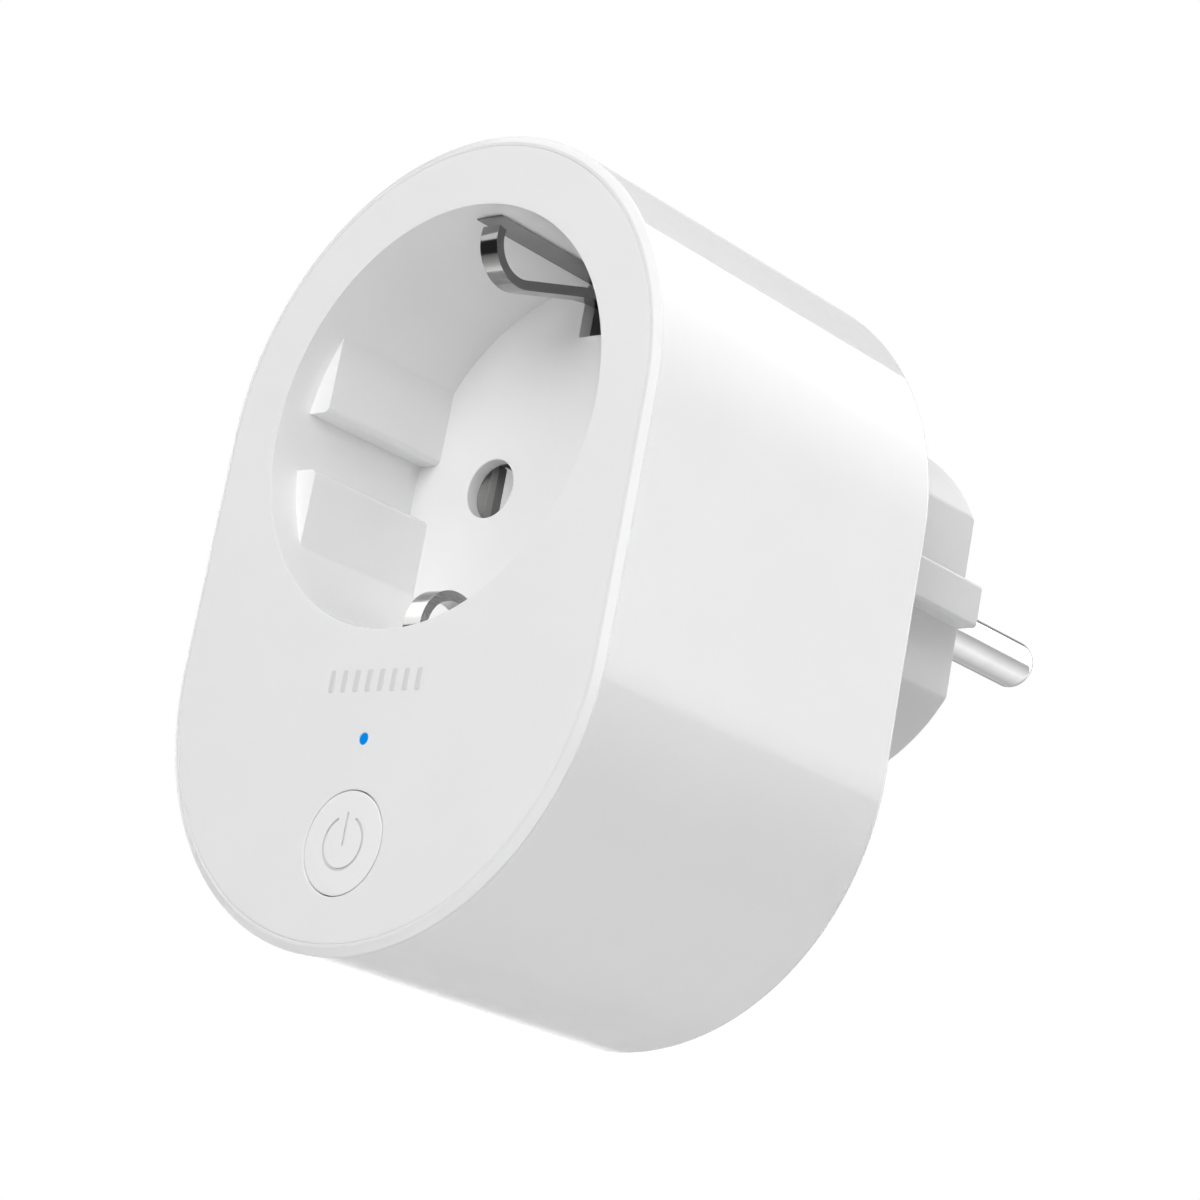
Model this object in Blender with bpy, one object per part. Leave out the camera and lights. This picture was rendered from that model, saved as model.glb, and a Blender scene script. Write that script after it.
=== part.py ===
"""Smart plug: a CEE 7/3 socket in front, a CEE 7/7 plug behind, relay and radio boards between.

Frame: metres, +Z up, +Y towards the wall, +X to the right seen from the front.
The origin is the middle of the plug's end face, which seats in a wall socket.
Every piece is a child of the empty housing_frame, on the same axis in the plane of the housing's
rear face. The sizes and places below are measured from there.
"""

import math

import bmesh
import bpy
from mathutils import Matrix, Vector

MM = 0.001
GAP = 0.3 * MM  # clearance between neighbouring pieces
BEYOND = 1.0 * MM  # how far a cutter runs past the material it opens
OVERLAP = 0.1 * MM  # how far two cutters in line reach into each other

# Housing: a stadium outline, round at the top about the socket axis, straight down both sides.
HALF_WIDTH = 25.75 * MM
HALF_STRAIGHT = 11.2 * MM
OUTLINE_Z = -10.95 * MM  # middle of the stadium below the socket axis
DEPTH = 38.5 * MM
FRONT_Y = -DEPTH
WALL = 1.8 * MM
RIM = 1.0 * MM  # wall left around the inset covers
EDGE_RADIUS = 0.8 * MM
COVER = 1.6 * MM
COVER_BACK_Y = FRONT_Y + COVER
REAR_PLATE = 2.0 * MM
OUTLINE_STEPS = 18

# Socket recess, CEE 7/3.
RECESS_RADIUS = 19.5 * MM
RECESS_DEPTH = 17.8 * MM
CUP_WALL = 1.5 * MM
FLOOR = 1.6 * MM
FLOOR_Y = FRONT_Y + RECESS_DEPTH
FLOOR_BACK_Y = FLOOR_Y + FLOOR
GUIDE_FACE_X = 17.4 * MM
GUIDE_SLOT_Z = 2.75 * MM
GUIDE_FRONT_Y = FRONT_Y + 3.75 * MM
PIN_SPACING = 19.0 * MM
PIN_X = PIN_SPACING / 2
PIN_HOLE_RADIUS = 2.85 * MM
EARTH_SLOT_HALF_WIDTH = 1.8 * MM
EARTH_SLOT_LOW = 14.1 * MM
EARTH_SLOT_HIGH = 19.45 * MM
GUIDE_FOOT_STEPS = 4
GUIDE_WALL_STEPS = 18

# Plug, CEE 7/7.
PLUG_RADIUS = 18.1 * MM
PLUG_LENGTH = 19.0 * MM
PLUG_WALL = 1.8 * MM
PLUG_ROOM_RADIUS = 14.0 * MM
PLUG_FLAT_X = 15.8 * MM
PLUG_RIB_X = 18.0 * MM
PLUG_RIB_HALF_Z = 2.1 * MM
EARTH_GROOVE_HALF_WIDTH = 3.8 * MM
EARTH_GROOVE_Z = 16.3 * MM
FRENCH_HOLE_Z = 10.0 * MM
EARTH_GROOVE_START_Y = 2.0 * MM
EARTH_PASSAGE_HALF_WIDTH = 3.2 * MM
EARTH_PASSAGE_DEPTH = 1.5 * MM
FRENCH_HOLE_RADIUS = 2.7 * MM
FRENCH_HOLE_START_Y = 15.0 * MM
PIN_SLEEVE_RADIUS = 4.0 * MM
PIN_SLEEVE_Y = 12.0 * MM
PIN_RADIUS = 2.4 * MM
PIN_LENGTH = 19.0 * MM
PIN_TIP_Y = PLUG_LENGTH + PIN_LENGTH
PIN_TAIL_Y = 9.0 * MM
PIN_TAIL_RADIUS = 1.5 * MM
PIN_COLLAR_RADIUS = 3.2 * MM
PIN_COLLAR_Y = 11.0 * MM
PIN_COLLAR_THICKNESS = 0.7 * MM
PIN_TIP_STEPS = 4
BUSBAR_HALF_WIDTH = 1.8 * MM
BUSBAR_THICKNESS = 0.4 * MM
BUSBAR_TOP_Z = 2.5 * MM
BUSBAR_FOOT_Z = -7.0 * MM

# Button, indicator and the raised bars of the front face.
BUTTON_Z = -38.25 * MM
BUTTON_RADIUS = 4.5 * MM
BUTTON_FLANGE = 0.9 * MM
BUTTON_FLANGE_THICKNESS = 0.6 * MM
BUTTON_STEM_RADIUS = 1.2 * MM
BUTTON_STEM_END_Y = -34.6 * MM
SYMBOL_RADIUS = 2.2 * MM
SYMBOL_LINE = 0.3 * MM
SYMBOL_DEPTH = 0.15 * MM
SYMBOL_OPENING = math.radians(29)  # half of the ring's opening
SYMBOL_BAR_LOW = -0.25 * MM
SYMBOL_BAR_HIGH = 2.65 * MM
INDICATOR_Z = -29.2 * MM
INDICATOR_RADIUS = 0.55 * MM
LIGHT_PIPE_FOOT_RADIUS = 1.4 * MM
BAR_COUNT = 8
BAR_Z = -24.05 * MM
BAR_HEIGHT = 2.2 * MM
BAR_ROW_WIDTH = 12.0 * MM
BAR_RAISED = 0.12 * MM

# Screws that clamp the rear cover to the front cover's bosses.
BOSS_RADIUS = 2.2 * MM
BOSS_RING = 21.3 * MM  # distance from the centre of the nearer end arc
BOSS_TOP_ANGLE = math.radians(45)
BOSS_BOTTOM_ANGLE = math.radians(-41)
SCREW_RADIUS = 1.1 * MM
SCREW_LENGTH = 11.0 * MM
SCREW_HEAD_RADIUS = 2.0 * MM
SCREW_HEAD_DEPTH = 1.2 * MM
SCREW_HEAD_ROUND = 0.3 * MM
SCREW_POINT = 1.0 * MM
CROSS_HALF_LENGTH = 1.2 * MM
CROSS_HALF_WIDTH = 0.25 * MM
CROSS_DEPTH = 0.6 * MM

# Boards, both parallel to the front face.
CONTROL_BOARD_Y = -31.6 * MM
CONTROL_BOARD_BACK_Y = CONTROL_BOARD_Y + 1.2 * MM
POWER_BOARD_Y = -6.2 * MM
POWER_BOARD_BACK_Y = POWER_BOARD_Y + 1.6 * MM
BOARD_SHOULDER_Z = -32.6 * MM
PART_FOOT_Y = POWER_BOARD_Y - GAP  # foot of every part standing on the power board

# Earth springs in the recess, one above and one below the plug axis.
# The spring's bow is an arc, its leg runs from the arc's end to the heel and on through the floor.
SPRING_WIDTH = 2.1 * MM
SPRING_THICKNESS = 0.92 * MM
BOW_RADIUS = 3.32 * MM
BOW_Y = FRONT_Y + 6.52 * MM
BOW_Z = 17.96 * MM
BOW_START = math.radians(174)
BOW_END = math.radians(287)
HEEL_Y = FRONT_Y + 16.0 * MM
HEEL_Z = 17.42 * MM
SPRING_END_Y = FRONT_Y + 20.6 * MM
SPRING_END_Z = 17.8 * MM
SPRING_PIVOT_Y = FRONT_Y + 17.3 * MM
SPRING_PIVOT_Z = 17.5 * MM
EARTH_PLATE_WIDTH = 2.76 * MM
EARTH_PLATE_THICKNESS = 0.4 * MM
EARTH_PLATE_Z = 19.1 * MM
EARTH_PLATE_FRONT_Y = FRONT_Y + 2.4 * MM
EARTH_PLATE_BACK_Y = FLOOR_BACK_Y + 2.3 * MM
EARTH_STRAP_THICKNESS = 0.5 * MM
EARTH_STRAP_HALF_WIDTH = 2.0 * MM
EARTH_STRAP_Z = EARTH_PLATE_Z - 0.75 * MM
EARTH_STRAP_FRONT_Y = FLOOR_BACK_Y + 3.0 * MM
EARTH_STRAP_BACK_Y = -3.0 * MM
REAR_CONTACT_HALF_WIDTH = 2.8 * MM
REAR_CONTACT_Z = EARTH_GROOVE_Z + 2 * GAP
REAR_CONTACT_BEND_Y = 14.5 * MM
REAR_CONTACT_END_Y = 16.5 * MM
REAR_CONTACT_DIP = 0.15 * MM
EARTH_LINK_BACK_Y = -3.1 * MM
EARTH_SLEEVE_WALL = 0.6 * MM
EARTH_SLEEVE_FRONT_Y = -2.8 * MM
EARTH_SLEEVE_BACK_Y = 16.0 * MM

# Pin contacts behind the socket floor.
JAW_INNER = 2.1 * MM
JAW_THICKNESS = 0.7 * MM
JAW_HALF_HEIGHT = 3.4 * MM
JAW_FRONT_Y = FLOOR_BACK_Y + GAP
JAW_BACK_Y = -9.4 * MM
CONTACT_BASE_Y = -8.3 * MM
CONTACT_HOLE_RADIUS = 2.8 * MM
CONTACT_HOLE_Y = -11.0 * MM

# Relay on the power board.
RELAY_X = -3.9 * MM
RELAY_Z = -32.15 * MM
RELAY_HALF_X = 7.7 * MM
RELAY_HALF_Z = 9.25 * MM
RELAY_TOP_Y = -24.2 * MM
RELAY_BASE = 1.1 * MM
RELAY_COVER_FOOT_Y = PART_FOOT_Y - RELAY_BASE - GAP
RELAY_WALL = 0.8 * MM
COIL_Z = -29.5 * MM
COIL_RADIUS = 4.6 * MM
COIL_BORE_RADIUS = 1.9 * MM
COIL_FLANGE = 1.0 * MM
COIL_FRONT_Y = -19.3 * MM
COIL_BACK_Y = -9.7 * MM
YOKE_HALF_WIDTH = 3.5 * MM
YOKE_THICKNESS = 1.0 * MM
YOKE_Z = -35.6 * MM  # outer face of the upright leg
YOKE_FRONT_Y = -20.6 * MM
ARMATURE_FRONT_Y = -21.7 * MM
ARMATURE_THICKNESS = 0.8 * MM
ARMATURE_TOP_Z = COIL_Z + 2.4 * MM
ARMATURE_PIVOT_Y = YOKE_FRONT_Y
ARMATURE_PIVOT_Z = YOKE_Z + YOKE_THICKNESS / 2
BLADE_Z = YOKE_Z - 1.2 * MM
BLADE_THICKNESS = 0.3 * MM
BLADE_HALF_WIDTH = 1.6 * MM
BUTTON_HEAD = 0.7 * MM
BUTTON_HEAD_HALF_WIDTH = 1.0 * MM
BUTTON_HEAD_FRONT_Y = -12.8 * MM
POST_Z = BLADE_Z - 2.2 * MM


# ---------------------------------------------------------------- helpers


def clear_scene():
    for obj in list(bpy.data.objects):
        bpy.data.objects.remove(obj, do_unlink=True)


def add_housing_frame():
    """The parent of every piece: it puts the plug's end face at the world origin."""
    frame = bpy.data.objects.new("housing_frame", None)
    frame.location = (0, -PLUG_LENGTH, 0)
    bpy.context.scene.collection.objects.link(frame)


def material(name, colour, roughness, metallic=0.0):
    made = bpy.data.materials.get(name) or bpy.data.materials.new(name)
    made.use_nodes = True
    shader = made.node_tree.nodes["Principled BSDF"]
    shader.inputs["Base Color"].default_value = (*colour, 1.0)
    shader.inputs["Roughness"].default_value = roughness
    shader.inputs["Metallic"].default_value = metallic
    return made


def white_plastic():
    return material("white_plastic", (0.83, 0.83, 0.84), 0.32)


def nickel():
    return material("nickel", (0.72, 0.71, 0.69), 0.18, 1.0)


def brass():
    return material("brass", (0.78, 0.62, 0.34), 0.3, 1.0)


def steel():
    return material("steel", (0.56, 0.57, 0.58), 0.35, 1.0)


def board_green():
    return material("board_green", (0.02, 0.16, 0.07), 0.45)


def black_plastic():
    return material("black_plastic", (0.02, 0.02, 0.022), 0.45)


def finish_object(name, mesh_data, coat):
    """Writes the bmesh to a new object of this name, with its normals outward."""
    bmesh.ops.recalc_face_normals(mesh_data, faces=mesh_data.faces)
    mesh = bpy.data.meshes.new(name)
    mesh_data.to_mesh(mesh)
    mesh_data.free()
    mesh.shade_smooth()
    mesh.set_sharp_from_angle(angle=math.radians(30))
    obj = bpy.data.objects.new(name, mesh)
    obj.parent = bpy.data.objects["housing_frame"]
    bpy.context.scene.collection.objects.link(obj)
    if coat:
        mesh.materials.append(coat)
    return obj


def add_prism(mesh_data, outline, start, end, axis="Y"):
    """Extrudes an outline along an axis. The outline's pairs are (x, z), or (y, z) for axis X."""
    sides = []
    for level in (start, end):
        if axis == "Y":
            ring = [mesh_data.verts.new((a, level, b)) for a, b in outline]
        else:
            ring = [mesh_data.verts.new((level, a, b)) for a, b in outline]
        sides.append(ring)
    first, last = sides
    count = len(outline)
    mesh_data.faces.new(first)
    mesh_data.faces.new(last[::-1])
    for i in range(count):
        j = (i + 1) % count
        mesh_data.faces.new((first[i], last[i], last[j], first[j]))


def prism(name, outline, start, end, coat=None, axis="Y"):
    mesh_data = bmesh.new()
    add_prism(mesh_data, outline, start, end, axis)
    return finish_object(name, mesh_data, coat)


def boxes(name, corners, coat=None):
    """One object of one or more boxes, each given by its low and high corner."""
    mesh_data = bmesh.new()
    for (x0, y0, z0), (x1, y1, z1) in corners:
        add_prism(mesh_data, [(x0, z0), (x1, z0), (x1, z1), (x0, z1)], y0, y1)
    return finish_object(name, mesh_data, coat)


def box(name, low, high, coat=None):
    return boxes(name, [(low, high)], coat)


def circle(radius, x=0.0, z=0.0, steps=24):
    angles = [2 * math.pi * i / steps for i in range(steps)]
    return [(x + radius * math.cos(a), z + radius * math.sin(a)) for a in angles]


def arc(radius, start, end, x=0.0, z=0.0, steps=8):
    """Points from one angle to another, both ends included, in radians."""
    angles = [start + (end - start) * i / steps for i in range(steps + 1)]
    return [(x + radius * math.cos(a), z + radius * math.sin(a)) for a in angles]


def rod(name, radius, start, end, x, z, coat=None, steps=16):
    return prism(name, circle(radius, x, z, steps), start, end, coat)


def rods(name, radius, start, end, places, coat=None, steps=16):
    mesh_data = bmesh.new()
    for x, z in places:
        add_prism(mesh_data, circle(radius, x, z, steps), start, end)
    return finish_object(name, mesh_data, coat)


def turned(name, profile, x, z, coat=None, steps=24):
    """Spins (radius, y) pairs about the line through (x, z) parallel to Y. Ends at radius 0 close it."""
    mesh_data = bmesh.new()
    rings = []
    for radius, y in profile:
        if radius:
            points = circle(radius, x, z, steps)
        else:
            points = [(x, z)]
        rings.append([mesh_data.verts.new((a, y, b)) for a, b in points])
    pairs = list(zip(rings, rings[1:]))
    if profile[0][0]:
        pairs.append((rings[-1], rings[0]))
    for near, far in pairs:
        for i in range(steps):
            j = (i + 1) % steps
            corners = [near[i % len(near)], far[i % len(far)], far[j % len(far)], near[j % len(near)]]
            mesh_data.faces.new(list(dict.fromkeys(corners)))
    return finish_object(name, mesh_data, coat)


def stadium(inset=0.0):
    """The housing's outline, moved inwards by inset."""
    radius = HALF_WIDTH - inset
    top = OUTLINE_Z + HALF_STRAIGHT
    bottom = OUTLINE_Z - HALF_STRAIGHT
    upper = arc(radius, 0, math.pi, 0, top, OUTLINE_STEPS)
    return upper + arc(radius, math.pi, 2 * math.pi, 0, bottom, OUTLINE_STEPS)


def strip(path, thickness):
    """The closed outline of a bent strip whose middle line is path, with mitred bends."""
    points = [Vector(p) for p in path]
    left, right = [], []
    for i, point in enumerate(points):
        before = (point - points[i - 1]).normalized() if i else None
        after = (points[i + 1] - point).normalized() if i + 1 < len(points) else None
        along = ((before or after) + (after or before)).normalized()
        normal = Vector((-along.y, along.x))
        lead = after or before
        stretch = 1 / max(normal.dot(Vector((-lead.y, lead.x))), 0.5)
        offset = normal * thickness / 2 * stretch
        left.append(tuple(point + offset))
        right.append(tuple(point - offset))
    return left + right[::-1]


def modify(target, tool, operation):
    """Adds a Boolean of the tool to the target, and hides the tool."""
    tool.hide_render = True
    tool.display_type = "WIRE"
    modifier = target.modifiers.new(tool.name, "BOOLEAN")
    modifier.operation = operation
    modifier.object = tool
    return target


def cut(target, *tools):
    for tool in tools:
        modify(target, tool, "DIFFERENCE")
    return target


def add(target, *tools):
    for tool in tools:
        modify(target, tool, "UNION")
    return target


def put_origin(obj, x, y, z):
    """Moves the object's origin to its joint's axis and leaves its mesh where it is."""
    place = Vector((x, y, z))
    obj.data.transform(Matrix.Translation(-place))
    obj.location = place
    return obj


def mirrored(points, sign):
    """The pairs with their second value times sign."""
    return [(a, sign * b) for a, b in points]


def boss_places():
    """The four screw axes, as (x, z)."""
    top = OUTLINE_Z + HALF_STRAIGHT
    bottom = OUTLINE_Z - HALF_STRAIGHT
    places = []
    for centre, angle in ((top, BOSS_TOP_ANGLE), (bottom, BOSS_BOTTOM_ANGLE)):
        for side in (-1, 1):
            x = side * BOSS_RING * math.cos(angle)
            places.append((x, centre + BOSS_RING * math.sin(angle)))
    return places


# ---------------------------------------------------------------- housing


def edge_section(end_y, inward):
    """A quarter round of (inset, y) from the end face at end_y to the side wall."""
    section = []
    for angle in (0, 45, 90):
        turn = math.radians(angle)
        inset = EDGE_RADIUS * (1 - math.sin(turn))
        section.append((inset, end_y + inward * EDGE_RADIUS * (1 - math.cos(turn))))
    return section


def housing_shell():
    """The side wall: a tube with rounded ends, each rebated for its inset cover."""
    front_step = COVER_BACK_Y + GAP
    rear_step = -REAR_PLATE - GAP
    section = [(WALL, front_step), (RIM, front_step), (RIM, FRONT_Y)]
    section += edge_section(FRONT_Y, 1)
    section += edge_section(0.0, -1)[::-1]
    section += [(RIM, 0.0), (RIM, rear_step), (WALL, rear_step)]
    mesh_data = bmesh.new()
    rings = []
    for inset, y in section:
        rings.append([mesh_data.verts.new((x, y, z)) for x, z in stadium(inset)])
    for near, far in zip(rings, rings[1:] + rings[:1]):
        for i in range(len(near)):
            j = (i + 1) % len(near)
            mesh_data.faces.new((near[i], far[i], far[j], near[j]))
    return finish_object("housing_shell", mesh_data, white_plastic())


def guided_recess_outline():
    """The recess circle with the four guide blocks left out, counterclockwise as (x, z)."""
    block_top = math.acos(GUIDE_FACE_X / RECESS_RADIUS)
    block_foot = math.asin(GUIDE_SLOT_Z / RECESS_RADIUS)
    outline = []
    for turn in (0.0, math.pi):
        side = math.cos(turn)
        outline += arc(RECESS_RADIUS, turn - block_foot, turn + block_foot, steps=GUIDE_FOOT_STEPS)
        outline.append((side * GUIDE_FACE_X, side * GUIDE_SLOT_Z))
        wall = (turn + block_top, turn + math.pi - block_top)
        outline += arc(RECESS_RADIUS, *wall, steps=GUIDE_WALL_STEPS)
        outline.append((-side * GUIDE_FACE_X, side * GUIDE_SLOT_Z))
    return outline


def power_symbol_tool():
    """The cutter of the switch symbol: a ring open at the top, and a bar in the opening."""
    outer = SYMBOL_RADIUS + SYMBOL_LINE / 2
    inner = SYMBOL_RADIUS - SYMBOL_LINE / 2
    first = math.pi / 2 + SYMBOL_OPENING
    last = math.pi * 5 / 2 - SYMBOL_OPENING
    ring = arc(outer, first, last, 0, BUTTON_Z, 20) + arc(inner, last, first, 0, BUTTON_Z, 20)
    low = BUTTON_Z + SYMBOL_BAR_LOW
    high = BUTTON_Z + SYMBOL_BAR_HIGH
    half = SYMBOL_LINE / 2
    bar = [(-half, low), (half, low), (half, high), (-half, high)]
    mesh_data = bmesh.new()
    for outline in (ring, bar):
        add_prism(mesh_data, outline, FRONT_Y - SYMBOL_DEPTH, FRONT_Y + SYMBOL_DEPTH)
    return finish_object("symbol_tool", mesh_data, None)


def raised_bars():
    pitch = BAR_ROW_WIDTH / BAR_COUNT
    corners = []
    for i in range(BAR_COUNT):
        x = pitch * (i + 0.5) - BAR_ROW_WIDTH / 2
        low = (x - pitch / 4, FRONT_Y - BAR_RAISED, BAR_Z - BAR_HEIGHT / 2)
        high = (x + pitch / 4, FRONT_Y + BAR_RAISED, BAR_Z + BAR_HEIGHT / 2)
        corners.append((low, high))
    return boxes("bar_tool", corners)


def front_cover():
    """The front face and the socket cup in one moulding, with the guide blocks and screw bosses."""
    cover = prism("front_cover", stadium(RIM + GAP), FRONT_Y, COVER_BACK_Y, white_plastic())
    start_y = FRONT_Y + COVER / 2
    cup = rod("cup_tool", RECESS_RADIUS + CUP_WALL, start_y, FLOOR_BACK_Y, 0, 0, steps=48)
    bosses = rods("boss_tool", BOSS_RADIUS, start_y, -REAR_PLATE - GAP, boss_places())
    add(cover, cup, bosses, raised_bars())
    mouth = rod("mouth_tool", RECESS_RADIUS, FRONT_Y - BEYOND, GUIDE_FRONT_Y, 0, 0, steps=48)
    recess = prism("recess_tool", guided_recess_outline(), GUIDE_FRONT_Y - OVERLAP, FLOOR_Y)
    through = (FLOOR_Y - BEYOND, FLOOR_BACK_Y + BEYOND)
    pin_holes = rods("pin_hole_tool", PIN_HOLE_RADIUS, *through, pin_places())
    slots = []
    for sign in (-1, 1):
        near, far = sorted((sign * EARTH_SLOT_LOW, sign * EARTH_SLOT_HIGH))
        low = (-EARTH_SLOT_HALF_WIDTH, through[0], near)
        high = (EARTH_SLOT_HALF_WIDTH, through[1], far)
        slots.append((low, high))
    through = (FRONT_Y - BEYOND, COVER_BACK_Y + BEYOND)
    button_hole = rod("button_hole_tool", BUTTON_RADIUS + GAP, *through, 0, BUTTON_Z, steps=32)
    light_hole = rod("light_hole_tool", INDICATOR_RADIUS + GAP, *through, 0, INDICATOR_Z)
    screw_holes = rods(
        "screw_hole_tool", SCREW_RADIUS + GAP, -REAR_PLATE - SCREW_LENGTH, 0.0, boss_places(), steps=12
    )
    tools = (mouth, recess, pin_holes, boxes("earth_slot_tool", slots), button_hole, light_hole)
    return cut(cover, *tools, screw_holes)


def plug_outline():
    """The plug body's section: a circle with two flats, each with a middle rib, as (x, z)."""
    corner = math.acos(PLUG_FLAT_X / PLUG_RADIUS)
    outline = []
    for turn in (0.0, math.pi):
        side = math.cos(turn)
        outline.append((side * PLUG_RIB_X, -side * PLUG_RIB_HALF_Z))
        outline.append((side * PLUG_RIB_X, side * PLUG_RIB_HALF_Z))
        outline.append((side * PLUG_FLAT_X, side * PLUG_RIB_HALF_Z))
        outline += arc(PLUG_RADIUS, turn + corner, turn + math.pi - corner, steps=14)
        outline.append((-side * PLUG_FLAT_X, side * PLUG_RIB_HALF_Z))
    return outline


def rear_cover():
    """The rear plate and the hollow plug body in one moulding."""
    cover = prism("rear_cover", stadium(RIM + GAP), -REAR_PLATE, 0.0, white_plastic())
    add(cover, prism("plug_tool", plug_outline(), -REAR_PLATE / 2, PLUG_LENGTH))
    room_back_y = PLUG_LENGTH - PLUG_WALL
    cut(cover, rod("room_tool", PLUG_ROOM_RADIUS, -REAR_PLATE - BEYOND, room_back_y, 0, 0, steps=36))
    sleeve_end_y = PLUG_LENGTH - PLUG_WALL / 2
    add(cover, rods("pin_sleeve_tool", PIN_SLEEVE_RADIUS, PIN_SLEEVE_Y, sleeve_end_y, pin_places()))
    through = (PIN_SLEEVE_Y - BEYOND, PLUG_LENGTH + BEYOND)
    pin_bores = rods("pin_bore_tool", PIN_RADIUS + GAP, *through, pin_places())
    through = (FRENCH_HOLE_START_Y, PLUG_LENGTH + BEYOND)
    french_hole = rod("french_hole_tool", FRENCH_HOLE_RADIUS, *through, 0, FRENCH_HOLE_Z)
    grooves = []
    passages = []
    for sign in (-1, 1):
        near, far = sorted((sign * EARTH_GROOVE_Z, sign * (PLUG_RADIUS + BEYOND)))
        low = (-EARTH_GROOVE_HALF_WIDTH, EARTH_GROOVE_START_Y, near)
        high = (EARTH_GROOVE_HALF_WIDTH, PLUG_LENGTH + BEYOND, far)
        grooves.append((low, high))
        near, far = sorted((sign * EARTH_GROOVE_Z, sign * (EARTH_GROOVE_Z + EARTH_PASSAGE_DEPTH)))
        low = (-EARTH_PASSAGE_HALF_WIDTH, -REAR_PLATE - BEYOND, near)
        high = (EARTH_PASSAGE_HALF_WIDTH, EARTH_GROOVE_START_Y + BEYOND, far)
        passages.append((low, high))
    through = (-REAR_PLATE - BEYOND, BEYOND)
    screw_holes = rods("cover_hole_tool", SCREW_RADIUS + GAP, *through, boss_places(), steps=12)
    through = (-SCREW_HEAD_DEPTH - GAP, BEYOND)
    head_holes = rods("head_hole_tool", SCREW_HEAD_RADIUS + GAP, *through, boss_places())
    groove_tool = boxes("earth_groove_tool", grooves)
    passage_tool = boxes("earth_passage_tool", passages)
    return cut(cover, pin_bores, french_hole, groove_tool, passage_tool, screw_holes, head_holes)


def cover_screws():
    """Four screws with their heads sunk into the rear face, each with a cross recess."""
    names = ("bottom_left", "bottom_right", "top_left", "top_right")
    places = sorted(boss_places(), key=lambda place: (round(place[1], 4), place[0]))
    face_y = -GAP / 2
    head_y = face_y - SCREW_HEAD_DEPTH
    point_y = -REAR_PLATE - SCREW_LENGTH + BEYOND
    profile = [
        (0, point_y),
        (SCREW_RADIUS / 2, point_y),
        (SCREW_RADIUS, point_y + SCREW_POINT),
        (SCREW_RADIUS, head_y),
        (SCREW_HEAD_RADIUS, head_y),
        (SCREW_HEAD_RADIUS, face_y - SCREW_HEAD_ROUND),
        (SCREW_HEAD_RADIUS - SCREW_HEAD_ROUND, face_y),
        (0, face_y),
    ]
    for name, (x, z) in zip(names, places):
        screw = turned("cover_screw_" + name, profile, x, z, steel(), steps=12)
        for half_x, half_z in ((CROSS_HALF_LENGTH, CROSS_HALF_WIDTH), (CROSS_HALF_WIDTH, CROSS_HALF_LENGTH)):
            low = (x - half_x, face_y - CROSS_DEPTH, z - half_z)
            high = (x + half_x, BEYOND, z + half_z)
            cut(screw, box("cross_tool", low, high))


# ---------------------------------------------------------------- plug pins and earth


def pin_places():
    """The two pin axes, as (x, z)."""
    return [(-PIN_X, 0), (PIN_X, 0)]


def plug_pins():
    """Two Ø4.8 pins with rounded tips, a collar behind the plug face and a stub inside."""
    collar_back_y = PIN_COLLAR_Y + PIN_COLLAR_THICKNESS
    profile = [
        (0, PIN_TAIL_Y),
        (PIN_TAIL_RADIUS, PIN_TAIL_Y),
        (PIN_TAIL_RADIUS, PIN_COLLAR_Y),
        (PIN_COLLAR_RADIUS, PIN_COLLAR_Y),
        (PIN_COLLAR_RADIUS, collar_back_y),
        (PIN_RADIUS, collar_back_y),
    ]
    for step in range(PIN_TIP_STEPS):
        turn = math.pi / 2 * step / PIN_TIP_STEPS
        y = PIN_TIP_Y - PIN_RADIUS * (1 - math.sin(turn))
        profile.append((PIN_RADIUS * math.cos(turn), y))
    profile.append((0, PIN_TIP_Y))
    turned("pin_live", profile, PIN_X, 0, nickel())
    turned("pin_neutral", profile, -PIN_X, 0, nickel())


def busbars():
    """Bent strips from the pin stubs down and forward to the power board."""
    upright_y = PIN_TAIL_Y - GAP - BUSBAR_THICKNESS / 2
    path = [
        (upright_y, BUSBAR_TOP_Z),
        (upright_y, BUSBAR_FOOT_Z),
        (POWER_BOARD_BACK_Y + GAP, BUSBAR_FOOT_Z),
    ]
    outline = strip(path, BUSBAR_THICKNESS)
    for name, x in (("busbar_live", PIN_X), ("busbar_neutral", -PIN_X)):
        prism(name, outline, x - BUSBAR_HALF_WIDTH, x + BUSBAR_HALF_WIDTH, brass(), "X")


def sprung_strip(name, path, thickness, half_width, sign, coat):
    """A strip bent along a path of (y, z), turned over to the bottom where sign is -1."""
    outline = mirrored(strip(path, thickness), sign)
    return prism(name, outline, -half_width, half_width, coat, "X")


def earth_plate(name, sign):
    """The flat backing plate of an earth spring, lying on the recess wall and through the floor."""
    path = [(EARTH_PLATE_FRONT_Y, EARTH_PLATE_Z), (EARTH_PLATE_BACK_Y, EARTH_PLATE_Z)]
    return sprung_strip(name, path, EARTH_PLATE_THICKNESS, EARTH_PLATE_WIDTH / 2, sign, nickel())


def earth_spring(name, sign):
    """The sprung loop that presses on a plug's earth contact: bow, leg and heel."""
    path = arc(BOW_RADIUS, BOW_START, BOW_END, BOW_Y, BOW_Z, 7)
    path += [(HEEL_Y, HEEL_Z), (SPRING_END_Y, SPRING_END_Z)]
    spring = sprung_strip(name, path, SPRING_THICKNESS, SPRING_WIDTH / 2, sign, nickel())
    return put_origin(spring, 0, SPRING_PIVOT_Y, sign * SPRING_PIVOT_Z)


def earth_strap(name, sign):
    """The strip that carries earth from a socket spring back to the plug's side contact."""
    path = [(EARTH_STRAP_FRONT_Y, EARTH_STRAP_Z), (EARTH_STRAP_BACK_Y, EARTH_STRAP_Z)]
    return sprung_strip(name, path, EARTH_STRAP_THICKNESS, EARTH_STRAP_HALF_WIDTH, sign, brass())


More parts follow.
